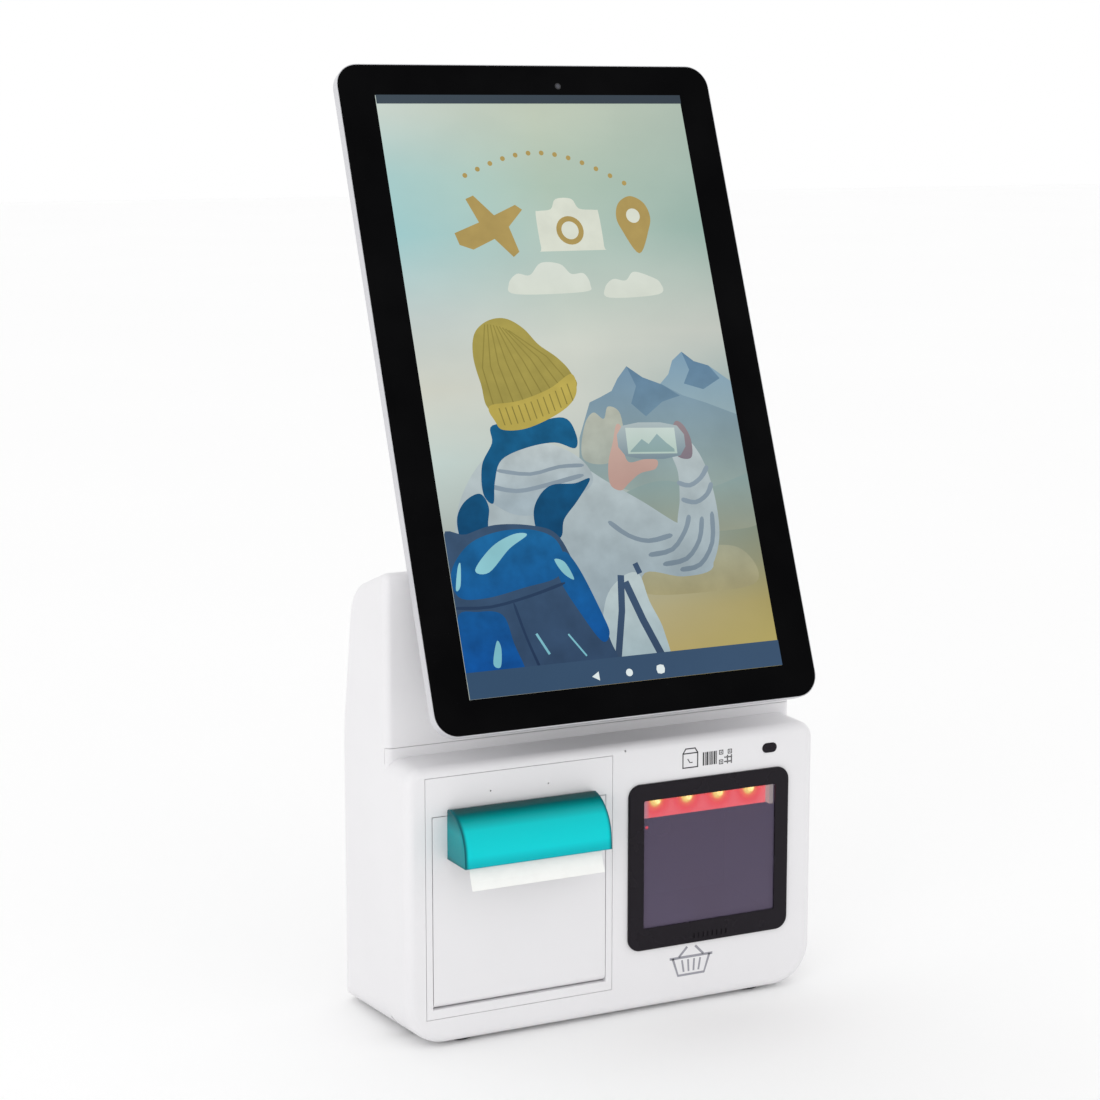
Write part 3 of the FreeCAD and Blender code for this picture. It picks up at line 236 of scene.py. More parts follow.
def reader_glass():
    """Smoked reader window that lets the red lamps through."""
    p = Paint("reader_glass", srgb(97, 88, 108), 0.12)
    low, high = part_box("scanner_window")
    # The colour runs slightly darker towards the top of the window.
    up_the_window = p.span(p.axis("Z"), low.z, high.z)
    cloud = p.span(p.noise(30.0, 4.0), 0.3, 0.7, 0.0, 1.0)
    colour = p.mix(up_the_window, srgb(101, 92, 114), srgb(90, 82, 104))
    p.feed("Base Color", p.mix(p.math("MULTIPLY", cloud, 0.5), colour, srgb(96, 85, 104)))
    p.set("Alpha", 0.7)
    p.set("Specular IOR Level", 0.12)
    return p.mat


def hood_plastic():
    """Clear-tinted teal plastic with painted light and shade: a painted bright band over its front, painted shade
    where the wall turns edge-on, along the top and bottom, near the ends and on the end caps, and a faint painted
    glow.
    """
    p = Paint("hood_plastic", srgb(0, 190, 196), 0.1)
    low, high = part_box("exit_hood")
    height = p.span(p.axis("Z"), low.z, high.z)
    # Painted shade and highlight by height: dark at the bottom edge, a painted bright band across the front, painted
    # shade along the top.
    front = p.ramp(height, [(0.0, srgb(0, 120, 130)), (0.05, srgb(0, 176, 186)), (0.25, srgb(0, 208, 214)),
                            (0.7, srgb(0, 200, 204)), (0.86, srgb(0, 150, 152)), (0.95, srgb(1, 84, 86)),
                            (1.0, srgb(2, 60, 62))])
    # Painted shade that darkens the wall near each end.
    middle = (low.x + high.x) / 2
    from_middle = p.math("ABSOLUTE", p.math("SUBTRACT", p.axis("X"), middle))
    from_end = p.math("SUBTRACT", (high.x - low.x) / 2, from_middle)
    corner = p.span(from_end, 0.0006, 0.0022)
    body = p.mix(corner, srgb(0, 92, 100), front)
    # The end caps get a darker copy of the colour: painted shade on the faces turned sideways.
    painted_shade_cap = p.ramp(height, [(0.0, srgb(0, 96, 104)), (0.1, srgb(1, 134, 141)), (0.6, srgb(2, 150, 156)),
                          (0.95, srgb(0, 80, 86))])
    sideways = p.math("GREATER_THAN", p.math("ABSOLUTE", p.facing("X")), 0.9)
    colour = p.mix(sideways, body, painted_shade_cap)
    p.feed("Base Color", colour)
    # Faint painted glow: the hood emits its own colour, though it is no lamp.
    p.feed("Emission Color", colour)
    p.set("Emission Strength", 0.06)
    p.uneven_gloss(0.06, 0.14, 60.0)
    p.set("Specular IOR Level", 0.1)
    p.set("Transmission Weight", 0.12)
    p.set("IOR", 1.49)
    return p.mat


def thermal_paper():
    """Smooth coated paper with a little fibre."""
    p = Paint("thermal_paper", srgb(246, 246, 243), 0.55)
    p.mottled(srgb(246, 246, 243), 0.025, 180.0)
    p.bump(p.noise(2400.0, 4.0), 0.1, 0.00004)
    p.set("Subsurface Weight", 0.1)
    p.set("Subsurface Radius", (0.002, 0.002, 0.002))
    return p.mat


def wound_paper():
    """End of a paper roll: fine rings round its axis, smooth on the outside."""
    p = Paint("wound_paper", srgb(240, 240, 236), 0.7)
    low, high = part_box("paper_roll")
    middle = (low + high) / 2
    dy = p.math("SUBTRACT", p.axis("Y"), middle.y)
    dz = p.math("SUBTRACT", p.axis("Z"), middle.z)
    radius = p.math("SQRT", p.math("ADD", p.math("MULTIPLY", dy, dy), p.math("MULTIPLY", dz, dz)))
    rings = p.math("SINE", p.math("MULTIPLY", radius, 9000.0))
    p.feed("Base Color", p.mix(p.span(rings, -1.0, 1.0), srgb(226, 226, 221), srgb(244, 244, 240)))
    return p.mat


def grey_board():
    """Grey card of the roll's core."""
    p = Paint("grey_board", srgb(176, 158, 132), 0.85)
    p.mottled(srgb(176, 158, 132), 0.2, 420.0)
    p.bump(p.noise(900.0, 5.0), 0.3, 0.0001)
    return p.mat


def rubber(name, colour):
    p = Paint(name, colour, 0.75)
    p.mottled(colour, 0.25, 120.0)
    p.bump(p.noise(900.0, 3.0), 0.25, 0.0001)
    return p.mat


def circuit_board():
    """Green solder mask with lighter copper runs under it."""
    p = Paint("circuit_board", srgb(14, 82, 48), 0.35)
    runs = p.noise(220.0, 0.0, p.stretched(1.0, 1.0, 0.12))
    p.feed("Base Color", p.ramp(runs, [(0.48, srgb(12, 74, 43)), (0.52, srgb(30, 112, 70))]))
    p.set("Coat Weight", 0.4)
    return p.mat


def lamp_light():
    """Glowing red lamp with a hot middle."""
    p = Paint("lamp_light", srgb(255, 120, 70), 0.2)
    p.feed("Emission Color", p.ramp(p.noise(700.0), [(0.3, srgb(255, 190, 90)), (0.7, srgb(255, 235, 160))]))
    p.set("Emission Strength", 14.0)
    return p.mat


def lit_diffuser():
    """Red strip lit by the row of lamps: hot round each lamp, pink between them, and past the end a plain grey-beige
    with a painted glow.
    """
    p = Paint("lit_diffuser", srgb(150, 140, 138), 0.5)
    low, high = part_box("scan_lamps")
    bar_low, bar_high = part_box("light_bar")
    lamp_r = (high.y - low.y) / 2
    first = low.x + lamp_r
    pitch = (high.x - lamp_r - first) / 3
    steps = p.math("DIVIDE", p.math("SUBTRACT", p.axis("X"), first), pitch)
    dx = p.math("MULTIPLY", p.math("SUBTRACT", steps, p.math("ROUND", steps)), pitch)
    dz = p.math("SUBTRACT", p.axis("Z"), low.z + lamp_r)
    away = p.math("SQRT", p.math("ADD", p.math("MULTIPLY", dx, dx), p.math("MULTIPLY", dz, dz)))
    glow = p.ramp(p.span(away, 0.0, 0.011), [(0.0, srgb(255, 235, 140)), (0.26, srgb(255, 215, 90)),
                                             (0.4, srgb(255, 96, 20)), (0.62, srgb(255, 50, 26)),
                                             (1.0, srgb(255, 88, 82))])
    pale = p.mix(p.span(p.axis("X"), bar_low.x + 0.007, bar_low.x + 0.0095), srgb(190, 120, 124), glow)
    # Past the last lamp the plain strip is made to glow grey-beige: painted light standing in for the light that
    # falls on it.
    painted_glow_end = p.math("GREATER_THAN", p.axis("X"), bar_high.x - 0.0027)
    p.feed("Emission Color", p.mix(painted_glow_end, pale, srgb(150, 142, 132)))
    p.set("Emission Strength", LIT_BEHIND_GLASS)
    return p.mat


def printed_ink(name, colour):
    """Pad printing: flat, dense ink with tiny pinholes."""
    p = Paint(name, colour, 0.5)
    paler = tuple(min(c + 0.05, 1.0) for c in colour[:3]) + (1.0,)
    p.feed("Base Color", p.ramp(p.noise(2600.0, 2.0), [(0.25, paler), (0.45, colour)]))
    return p.mat


def glowing(name, low, high, angle=90.0, span=(0.0, ACTIVE_H), patchy=0.1, scale=26.0, strength=1.0):
    """Lit paint of the picture: a run of colour along a direction, with a soft patchiness over it."""
    p = Paint(name, srgb(6, 8, 10), 0.12)
    a = math.radians(angle)
    run = p.math("ADD", p.math("MULTIPLY", p.axis("X"), math.cos(a)), p.math("MULTIPLY", p.axis("Y"), math.sin(a)))
    colour = p.mix(p.span(run, span[0] * MM, span[1] * MM), low, high)
    darker = tuple(c * (1 - patchy) for c in (1, 1, 1)) + (1.0,)
    cloud = p.ramp(p.noise(scale, 4.0), [(0.3, darker), (0.7, (1.0, 1.0, 1.0, 1.0))])
    p.feed("Emission Color", p.mix(1.0, colour, cloud, "MULTIPLY"))
    p.set("Emission Strength", strength)
    p.set("Specular IOR Level", 0.05)
    return p.mat


def sky_paint():
    """Backdrop of the picture: three upright runs of colour, blended from left to right."""
    p = Paint("picture_sky", srgb(6, 8, 10), 0.12)
    height = p.span(p.axis("Y"), 0.0, ACTIVE_H * MM)
    left = p.ramp(height, [(0.05, srgb(170, 176, 168)), (0.26, srgb(168, 177, 172)), (0.38, srgb(194, 209, 204)),
                           (0.5, srgb(209, 210, 198)), (0.62, srgb(194, 205, 202)), (0.76, srgb(162, 204, 205)),
                           (0.86, srgb(172, 207, 205)), (0.97, srgb(200, 212, 204))])
    middle = p.ramp(height, [(0.04, srgb(180, 162, 110)), (0.12, srgb(178, 170, 135)), (0.24, srgb(154, 168, 165)),
                             (0.42, srgb(198, 203, 195)), (0.56, srgb(208, 212, 202)), (0.72, srgb(182, 200, 190)),
                             (0.84, srgb(176, 196, 180)), (0.97, srgb(192, 202, 184))])
    right = p.ramp(height, [(0.04, srgb(176, 162, 98)), (0.11, srgb(168, 155, 100)), (0.18, srgb(146, 146, 118)),
                            (0.28, srgb(124, 142, 134)), (0.45, srgb(150, 172, 172)), (0.58, srgb(196, 200, 192)),
                            (0.76, srgb(156, 182, 172)), (0.97, srgb(176, 191, 178))])
    half = ACTIVE_W / 2 * MM
    colour = p.mix(p.span(p.axis("X"), -half, 0.0), left, middle)
    colour = p.mix(p.span(p.axis("X"), 0.0, half), colour, right)
    drift = p.noise(14.0, 5.0, p.stretched(1.0, 1.7, 1.0))
    cloud = p.ramp(drift, [(0.35, (0.94, 0.95, 0.95, 1)), (0.65, (1, 1, 1, 1))])
    p.feed("Emission Color", p.mix(1.0, colour, cloud, "MULTIPLY"))
    p.set("Emission Strength", 1.0)
    p.set("Specular IOR Level", 0.05)
    return p.mat


# ---------------------------------------------------------------- mesh helpers
def new_object(name, verts, faces, place, material, body):
    mesh = bpy.data.meshes.new(name)
    mesh.from_pydata(verts, [], faces)
    mesh.materials.append(material)
    piece = bpy.data.objects.new(name, mesh)
    bpy.context.collection.objects.link(piece)
    piece.matrix_world = place
    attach(piece, body)
    return piece


def curved(points, steps=6):
    """Smooth closed line through the points."""
    found = []
    n = len(points)
    for i in range(n):
        p0, p1, p2, p3 = (Vector(points[(i + k) % n]) for k in (-1, 0, 1, 2))
        for s in range(steps):
            t = s / steps
            q = 0.5 * ((2 * p1) + (p2 - p0) * t + (2 * p0 - 5 * p1 + 4 * p2 - p3) * t * t
                       + (3 * p1 - p0 - 3 * p2 + p3) * t ** 3)
            found.append((q.x, q.y))
    return found


def block(x0, x1, y0, y1):
    return [(x0, y0), (x1, y0), (x1, y1), (x0, y1)]


def disc(x, y, r, count=28):
    return [(x + r * math.cos(2 * math.pi * i / count), y + r * math.sin(2 * math.pi * i / count))
            for i in range(count)]


def stroke(points, width):
    """Closed outline of a line of that width."""
    left, right = [], []
    for i, p in enumerate(points):
        a, b = Vector(points[max(i - 1, 0)]), Vector(points[min(i + 1, len(points) - 1)])
        d = (b - a).normalized() * (width / 2)
        left.append((p[0] - d.y, p[1] + d.x))
        right.append((p[0] + d.y, p[1] - d.x))
    return right + left[::-1]


def inside(outline, x0, x1, y0, y1):
    """The outline, kept within a rectangle."""
    return [(min(max(x, x0), x1), min(max(y, y0), y1)) for x, y in outline]


def signed_area(outline):
    return sum(a[0] * b[1] - b[0] * a[1] for a, b in zip(outline, outline[1:] + outline[:1])) / 2


def flat_shapes(name, outlines, base, thick, place, material, body):
    """Thin closed shapes lying on a plane: outlines in mm, from base to base + thick above it."""
    verts, faces = [], []
    for outline in outlines:
        if signed_area(outline) < 0:
            outline = outline[::-1]
        n, first = len(outline), len(verts)
        verts += [(x * MM, y * MM, base * MM) for x, y in outline]
        verts += [(x * MM, y * MM, (base + thick) * MM) for x, y in outline]
        faces.append([first + i for i in range(n)][::-1])
        faces.append([first + n + i for i in range(n)])
        faces += [[first + i, first + (i + 1) % n, first + n + (i + 1) % n, first + n + i] for i in range(n)]
    return new_object(name, verts, faces, place, material, body)


def plane_on(node, up_from_middle=0.0):
    """Local frame on the front of a node: origin on its centre line, X right, Y up, Z out of the face."""
    mesh = frame["nodes"][node].data
    face = max((p for p in mesh.polygons if p.normal.y < -0.5), key=lambda p: p.area)
    out = face.normal.normalized()
    right = Vector((1, 0, 0))
    up = out.cross(right)
    level = max(v.co.dot(out) for v in mesh.vertices)
    heights = [v.co.dot(up) for v in mesh.vertices if level - v.co.dot(out) < 0.0002]
    origin = out * level + up * ((min(heights) + max(heights)) / 2 + up_from_middle)
    return Matrix((right, up, out)).transposed().to_4x4(), origin


def placed(axes, origin):
    return Matrix.Translation(origin) @ axes


# ---------------------------------------------------------------- picture on the display
def screen_picture():
    """A generic mountain walk: a hiker seen from behind takes a picture. Made of thin lit shapes."""
    axes, origin = plane_on("touch_glass", -ACTIVE_H / 2 * MM)
    place = placed(axes, origin)
    half = ACTIVE_W / 2
    depth = [0]

    def patch(name, outlines, material):
        base = depth[0] * LAYER
        depth[0] += 1
        kept = [inside(o, -half, half, 0.0, ACTIVE_H) for o in outlines]
        return flat_shapes("picture_" + name, kept, base, LAYER, place, material, "display")

    patch("sky", [block(-half, half, 0, ACTIVE_H)], sky_paint())
    patch("far_peak", [[(46, 150), (50, 168), (57, 174), (61, 182), (68, 187), (75, 181), (84, 178), (half, 168),
                        (half, 134), (60, 140)]],
          glowing("paint_far_peak", srgb(160, 180, 180), srgb(128, 160, 182), span=(130, 185)))
    patch("near_peak", [[(-10, 118), (-6, 140), (4, 160), (12, 163), (19, 166), (24, 173), (31, 180), (40, 173),
                         (52, 168), (64, 161), (78, 156), (half, 148), (half, 100), (30, 104)]],
          glowing("paint_near_peak", srgb(148, 166, 162), srgb(122, 152, 174), span=(110, 176), patchy=0.16))
    patch("peak_shade", [[(31, 180), (35, 168), (30, 158), (38, 150), (50, 158), (62, 161), (52, 168), (40, 173)],
                         [(68, 187), (71, 176), (66, 168), (78, 164), (90, 170), (84, 178), (75, 181)]],
          glowing("paint_peak_shade", srgb(112, 142, 162), srgb(100, 134, 162), span=(150, 185),
                  patchy=0.2, scale=60.0))
    patch("rocks", [curved([(-6, 128), (-2, 146), (5, 154), (11, 150), (15, 157), (22, 152), (20, 132), (8, 124)])],
          glowing("paint_rocks", srgb(172, 180, 170), srgb(186, 190, 176), span=(124, 156), patchy=0.2, scale=70.0))
    patch("mist", [curved([(-10, 92), (10, 104), (40, 112), (70, 106), (half + 6, 112), (half + 6, 84), (60, 80),
                           (20, 78)])],
          glowing("paint_mist", srgb(150, 156, 138), srgb(140, 162, 160), span=(80, 110), patchy=0.12))
    patch("bank", [curved([(14, 60), (40, 66), (62, 72), (82, 70), (92, 58), (88, 48), (60, 46), (20, 48)])],
          glowing("paint_bank", srgb(168, 160, 120), srgb(164, 166, 142), span=(46, 72), patchy=0.18, scale=50.0))

    travel_icons(patch)
    hiker(patch)
    system_bars(patch)


def travel_icons(patch):
    """Plain travel signs in the sky, in place of any words."""
    ochre = glowing("paint_ochre", srgb(170, 146, 84), srgb(178, 154, 92), patchy=0.12, scale=90.0)
    cream = glowing("paint_cream", srgb(214, 218, 204), srgb(220, 224, 210), patchy=0.08, scale=90.0)
    plane = [(-62, 262), (-46, 268), (-52, 282), (-47, 284), (-36, 272), (-22, 278), (-18, 275), (-28, 265),
             (-24, 250), (-28, 247), (-38, 258), (-52, 252), (-60, 255)]
    patch("sign_plane", [plane], ochre)
    patch("sign_camera", [curved([(-8, 250), (28, 250), (30, 252), (30, 272), (28, 274), (18, 275), (14, 281),
                                  (4, 281), (0, 275), (-8, 274), (-10, 272), (-10, 252)], 4)], cream)
    patch("sign_camera_lens", [disc(10, 262, 8.6)], ochre)
    patch("sign_camera_glass", [disc(10, 262, 5.4)], cream)
    trail = []
    for i in range(13):
        t = i / 12
        trail.append(disc(-50 + 100 * t, 296 + 16 * math.sin(math.pi * t) - 6 * t, 1.5, 12))
    patch("sign_trail", trail, ochre)
    patch("sign_cloud", [curved([(-30, 225), (-34, 231), (-28, 237), (-20, 236), (-12, 243), (0, 242), (6, 236),
                                 (14, 236), (17, 229), (12, 225)]),
                         curved([(28, 221), (26, 227), (32, 232), (40, 231), (46, 236), (56, 233), (62, 229),
                                 (60, 222)])],
          glowing("paint_cloud", srgb(212, 218, 206), srgb(218, 224, 214), span=(220, 244), patchy=0.06, scale=60.0))
    pin = [(52, 247), (43, 262), (41, 270), (44, 278), (52, 282), (60, 278), (63, 270), (61, 262)]
    patch("sign_pin", [curved(pin)], ochre)
    patch("sign_pin_eye", [disc(52, 270, 4.4)], cream)


def hiker(patch):
    """Figure from behind: jacket, rucksack and knitted hat, arms up with a phone. No face shows."""
    jacket = glowing("paint_jacket", srgb(150, 168, 178), srgb(186, 198, 200), span=(30, 130),
                     patchy=0.2, scale=55.0)
    shade = glowing("paint_fold", srgb(118, 136, 150), srgb(140, 156, 168), span=(50, 110), patchy=0.15)
    pale = glowing("paint_pale_cloth", srgb(166, 186, 192), srgb(190, 204, 206), span=(14, 62),
                   patchy=0.15, scale=80.0)
    hood = glowing("paint_hood", srgb(168, 184, 192), srgb(198, 208, 208), span=(106, 142), patchy=0.22, scale=70.0)
    scarf = glowing("paint_scarf", srgb(8, 74, 118), srgb(20, 96, 140), span=(86, 146), patchy=0.3, scale=90.0)
    skin = glowing("paint_skin", srgb(186, 152, 142), srgb(204, 174, 162), span=(112, 142), patchy=0.12)

    patch("sleeve_far", [curved([(52, 116), (50, 128), (56, 136), (63, 134), (70, 120), (73, 98), (71, 76), (62, 60),
                                 (52, 66), (46, 84), (50, 100)])], jacket)
    patch("torso", [curved([(-62, 134), (-80, 116), (-90, 92), (-94, 50), (-88, 8), (-20, 6), (10, 8), (16, 40),
                            (20, 60), (44, 56), (64, 60), (58, 80), (44, 88), (26, 101), (6, 114), (-14, 128),
                            (-38, 138)])], jacket)
    patch("hem", [curved([(-14, 8), (-8, 44), (4, 58), (16, 60), (20, 44), (26, 26), (24, 6)])], pale)
    patch("hem_straps", [stroke([(5, 60), (2, 40), (-6, 10)], 4.0), stroke([(7, 56), (14, 34), (24, 8)], 4.4),
                         stroke([(15, 66), (17, 60)], 3.4)],
          glowing("paint_strap", srgb(52, 72, 98), srgb(62, 84, 112), span=(8, 60)))
    folds = [[(26, 70), (40, 72), (50, 82), (54, 90)], [(34, 64), (48, 66), (58, 76), (62, 88)],
             [(44, 60), (56, 62), (66, 74), (69, 90)], [(52, 100), (60, 98), (68, 102), (72, 108)],
             [(51, 110), (58, 108), (66, 112), (71, 118)], [(4, 90), (14, 82), (26, 78), (40, 80)]]
    patch("sleeve_folds", [curved(stroke(f, 2.6), 3) for f in folds], shade)
    patch("hand_far", [curved([(53, 126), (52, 138), (56, 146), (61, 143), (64, 134), (62, 124)])],
          glowing("paint_skin_dim", srgb(128, 118, 128), srgb(150, 134, 138), span=(124, 146)))
    patch("hand_near", [curved([(8, 112), (9, 124), (14, 136), (18, 146), (21, 144), (20, 132), (22, 124), (32, 125),
                                (40, 124), (38, 119), (28, 117), (20, 112), (14, 108)])], skin)
    phone_turn = math.radians(-3)

    def turned(outline, x, y):
        c, s = math.cos(phone_turn), math.sin(phone_turn)
        return [(x + c * a - s * b, y + s * a + c * b) for a, b in outline]

    patch("phone", [turned(curved(block(-17.5, 17.5, -8.8, 8.8), 3), 38.5, 135.5)],
          glowing("paint_phone_case", srgb(120, 140, 150), srgb(176, 190, 192), span=(124, 146)))
    patch("phone_screen", [turned(block(-15.6, 15.6, -7.6, 7.6), 38.5, 135.5)],
          glowing("paint_phone_screen", srgb(176, 198, 188), srgb(202, 216, 210), span=(126, 144)))
    patch("phone_view", [turned([(-14, -6), (-6, 1), (-2, -2), (4, 4), (9, -1), (14, -5), (14, -6.6), (-14, -6.6)],
                                38.5, 135.5)],
          glowing("paint_phone_view", srgb(140, 166, 164), srgb(150, 176, 180), span=(128, 142)))

    patch("hood_back", [curved([(-70, 112), (-68, 126), (-60, 136), (-44, 139), (-24, 137), (-8, 128), (-2, 116),
                                (-10, 108), (-26, 104), (-40, 98), (-56, 100)])], hood)
    patch("hood_folds", [curved(stroke([(-66, 116), (-50, 112), (-32, 114), (-10, 118)], 2.4), 3),
                         curved(stroke([(-58, 124), (-40, 121), (-22, 124), (-8, 124)], 2.0), 3)], shade)
    patch("scarf", [curved([(-58, 150), (-60, 140), (-68, 128), (-70, 112), (-65, 106), (-62, 118), (-56, 130),
                            (-40, 136), (-22, 138), (-10, 134), (-8, 142), (-14, 152), (-36, 150)])], scarf)
    rucksack(patch, scarf)
    knitted_hat(patch)


def rucksack(patch, scarf):
    navy = glowing("paint_navy", srgb(50, 74, 104), srgb(60, 86, 116), span=(10, 90), patchy=0.25, scale=60.0)
    blue = glowing("paint_blue", srgb(6, 82, 158), srgb(24, 104, 160), span=(14, 90), patchy=0.35, scale=75.0)
    shine = glowing("paint_shine", srgb(120, 186, 200), srgb(150, 206, 214), span=(14, 90), patchy=0.2)
    patch("strap_left", [curved([(-86, 84), (-88, 98), (-82, 108), (-72, 112), (-68, 104), (-70, 92), (-62, 84),
                                 (-74, 78)])], scarf)
    patch("strap_right", [curved([(-40, 84), (-42, 98), (-37, 108), (-28, 114), (-14, 114), (-4, 116), (-14, 104),
                                  (-24, 94), (-28, 84)])], scarf)
    patch("pack_body", [curved([(-100, 10), (-100, 86), (-84, 90), (-66, 94), (-44, 92), (-30, 86), (-22, 68),
                                (-14, 44), (-8, 24), (-8, 8), (-50, 4)])], navy)
    patch("pack_lid", [curved([(-96, 70), (-84, 84), (-66, 90), (-46, 90), (-32, 84), (-28, 72), (-34, 62), (-54, 58),
                               (-78, 54), (-94, 56)])], blue)
    patch("pack_pocket", [curved([(-96, 8), (-97, 44), (-84, 47), (-70, 44), (-66, 28), (-62, 8), (-80, 4)])], blue)
    patch("pack_side", [curved([(-28, 76), (-20, 66), (-10, 38), (-8, 28), (-13, 24), (-22, 38), (-33, 62)])], blue)
    patch("pack_seam", [curved(stroke([(-96, 50), (-76, 49), (-52, 53), (-32, 58)], 1.6), 3),
                        curved(stroke([(-62, 48), (-58, 30), (-52, 10)], 1.4), 3)],
          glowing("paint_seam", srgb(30, 50, 80), srgb(40, 62, 92), span=(8, 60)))
    patch("pack_shine", [curved([(-82, 70), (-70, 82), (-56, 88), (-48, 87), (-60, 80), (-74, 68)]),
                         curved([(-95, 60), (-92, 72), (-90, 74), (-92, 62)]),
                         curved([(-80, 18), (-76, 30), (-74, 26), (-76, 16)]),
                         curved([(-34, 72), (-28, 70), (-24, 60), (-30, 64)]),
                         stroke([(-52, 32), (-46, 20)], 1.4), stroke([(-33, 30), (-24, 17)], 1.0)], shine)


def knitted_hat(patch):
    """Hat with a turned-up rim; ribs are separate raised lines of colour."""
    wool = glowing("paint_wool", srgb(158, 146, 74), srgb(172, 158, 80), span=(150, 212), patchy=0.14, scale=110.0)
    rim = glowing("paint_rim", srgb(176, 158, 74), srgb(190, 172, 84), angle=20.0, span=(-60, 60), patchy=0.12,
                  scale=110.0)
    rib = glowing("paint_rib", srgb(138, 126, 60), srgb(150, 138, 66), span=(150, 212))
    patch("hat", [curved([(-57, 158), (-61, 174), (-63, 190), (-60, 203), (-51, 210), (-40, 211), (-30, 205),
                          (-22, 195), (-12, 187), (-5, 178), (-4, 168), (-30, 158)])], wool)
    dome = []
    for i in range(9):
        t = i / 8
        foot_x, foot_y = -55 + 48 * t, 158 + 14 * t
        top_x, top_y = -53 + 14 * t, 208 - 4 * t * t
        bend = (t - 0.5) * 9
        middle = ((foot_x + top_x) / 2 + bend, (foot_y + top_y) / 2)
        dome.append(stroke([(foot_x, foot_y), middle, (top_x, top_y)], 0.7))
    patch("hat_ribs", dome, rib)
    patch("hat_rim", [curved([(-58, 161), (-56, 152), (-52, 147), (-38, 147), (-20, 153), (-8, 160), (-3, 168),
                              (-5, 177), (-20, 169), (-40, 163)])], rim)
    cuff = []
    for i in range(12):
        t = (i + 0.5) / 12
        x, low, high = -54 + 48 * t, 148 + 13 * t * t, 161 + 13 * t * t
        cuff.append(stroke([(x + 1.5, low + 1.5), (x - 0.5, high - 1.5)], 0.7))
    patch("rim_ribs", cuff, rib)


def system_bars(patch):
    """Plain status and navigation bars, with the usual back, home and overview signs."""
    slate = glowing("paint_slate", srgb(50, 76, 104), srgb(58, 82, 110), angle=0.0, span=(-97, 97), patchy=0.05)
    white = glowing("paint_sign", srgb(222, 232, 232), srgb(228, 236, 236), patchy=0.02)
    half = ACTIVE_W / 2
    patch("navigation_bar", [block(-half, half, 0, BAR_TOP)], slate)
    patch("status_bar", [block(-half, half, STATUS_LOW, ACTIVE_H)],
          glowing("paint_status", srgb(62, 74, 84), srgb(54, 64, 74), angle=0.0, span=(-97, 97), patchy=0.05))
    patch("navigation_signs", [[(-23, 5.2), (-18.6, 2.7), (-18.6, 7.7)], disc(0, 5.3, 2.1),
                               curved([(17.4, 3.2), (21.6, 3.2), (21.6, 7.4), (17.4, 7.4)], 2)], white)


def camera_spot():
    """The camera's small dark eye behind the glass, in the upper margin."""
    axes, origin = plane_on("touch_glass")
    low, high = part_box("camera_module")
    eye = Vector(((low.x + high.x) / 2, low.y, low.z))
    up = axes.to_3x3() @ Vector((0, 1, 0))
    height = (eye - origin).dot(up) / MM
    x = eye.x / MM
    ring = moulded("camera_ring", srgb(26, 26, 30), 0.3)
    lens = moulded("camera_lens", srgb(22, 26, 44), 0.08, coat=1.0)
    face = placed(axes, origin)
    flat_shapes("camera_ring", [disc(x, height, 1.9)], 0.0, 0.02, face, ring, "display")
    flat_shapes("camera_lens", [disc(x, height, 1.2)], 0.02, 0.02, face, lens, "display")


# ---------------------------------------------------------------- signs printed on the housing
def frame_lines(x0, x1, y0, y1, w):
    """Four bars round a rectangle."""
    return [block(x0, x1, y0, y0 + w), block(x0, x1, y1 - w, y1), block(x0, x0 + w, y0 + w, y1 - w),
            block(x1 - w, x1, y0 + w, y1 - w)]


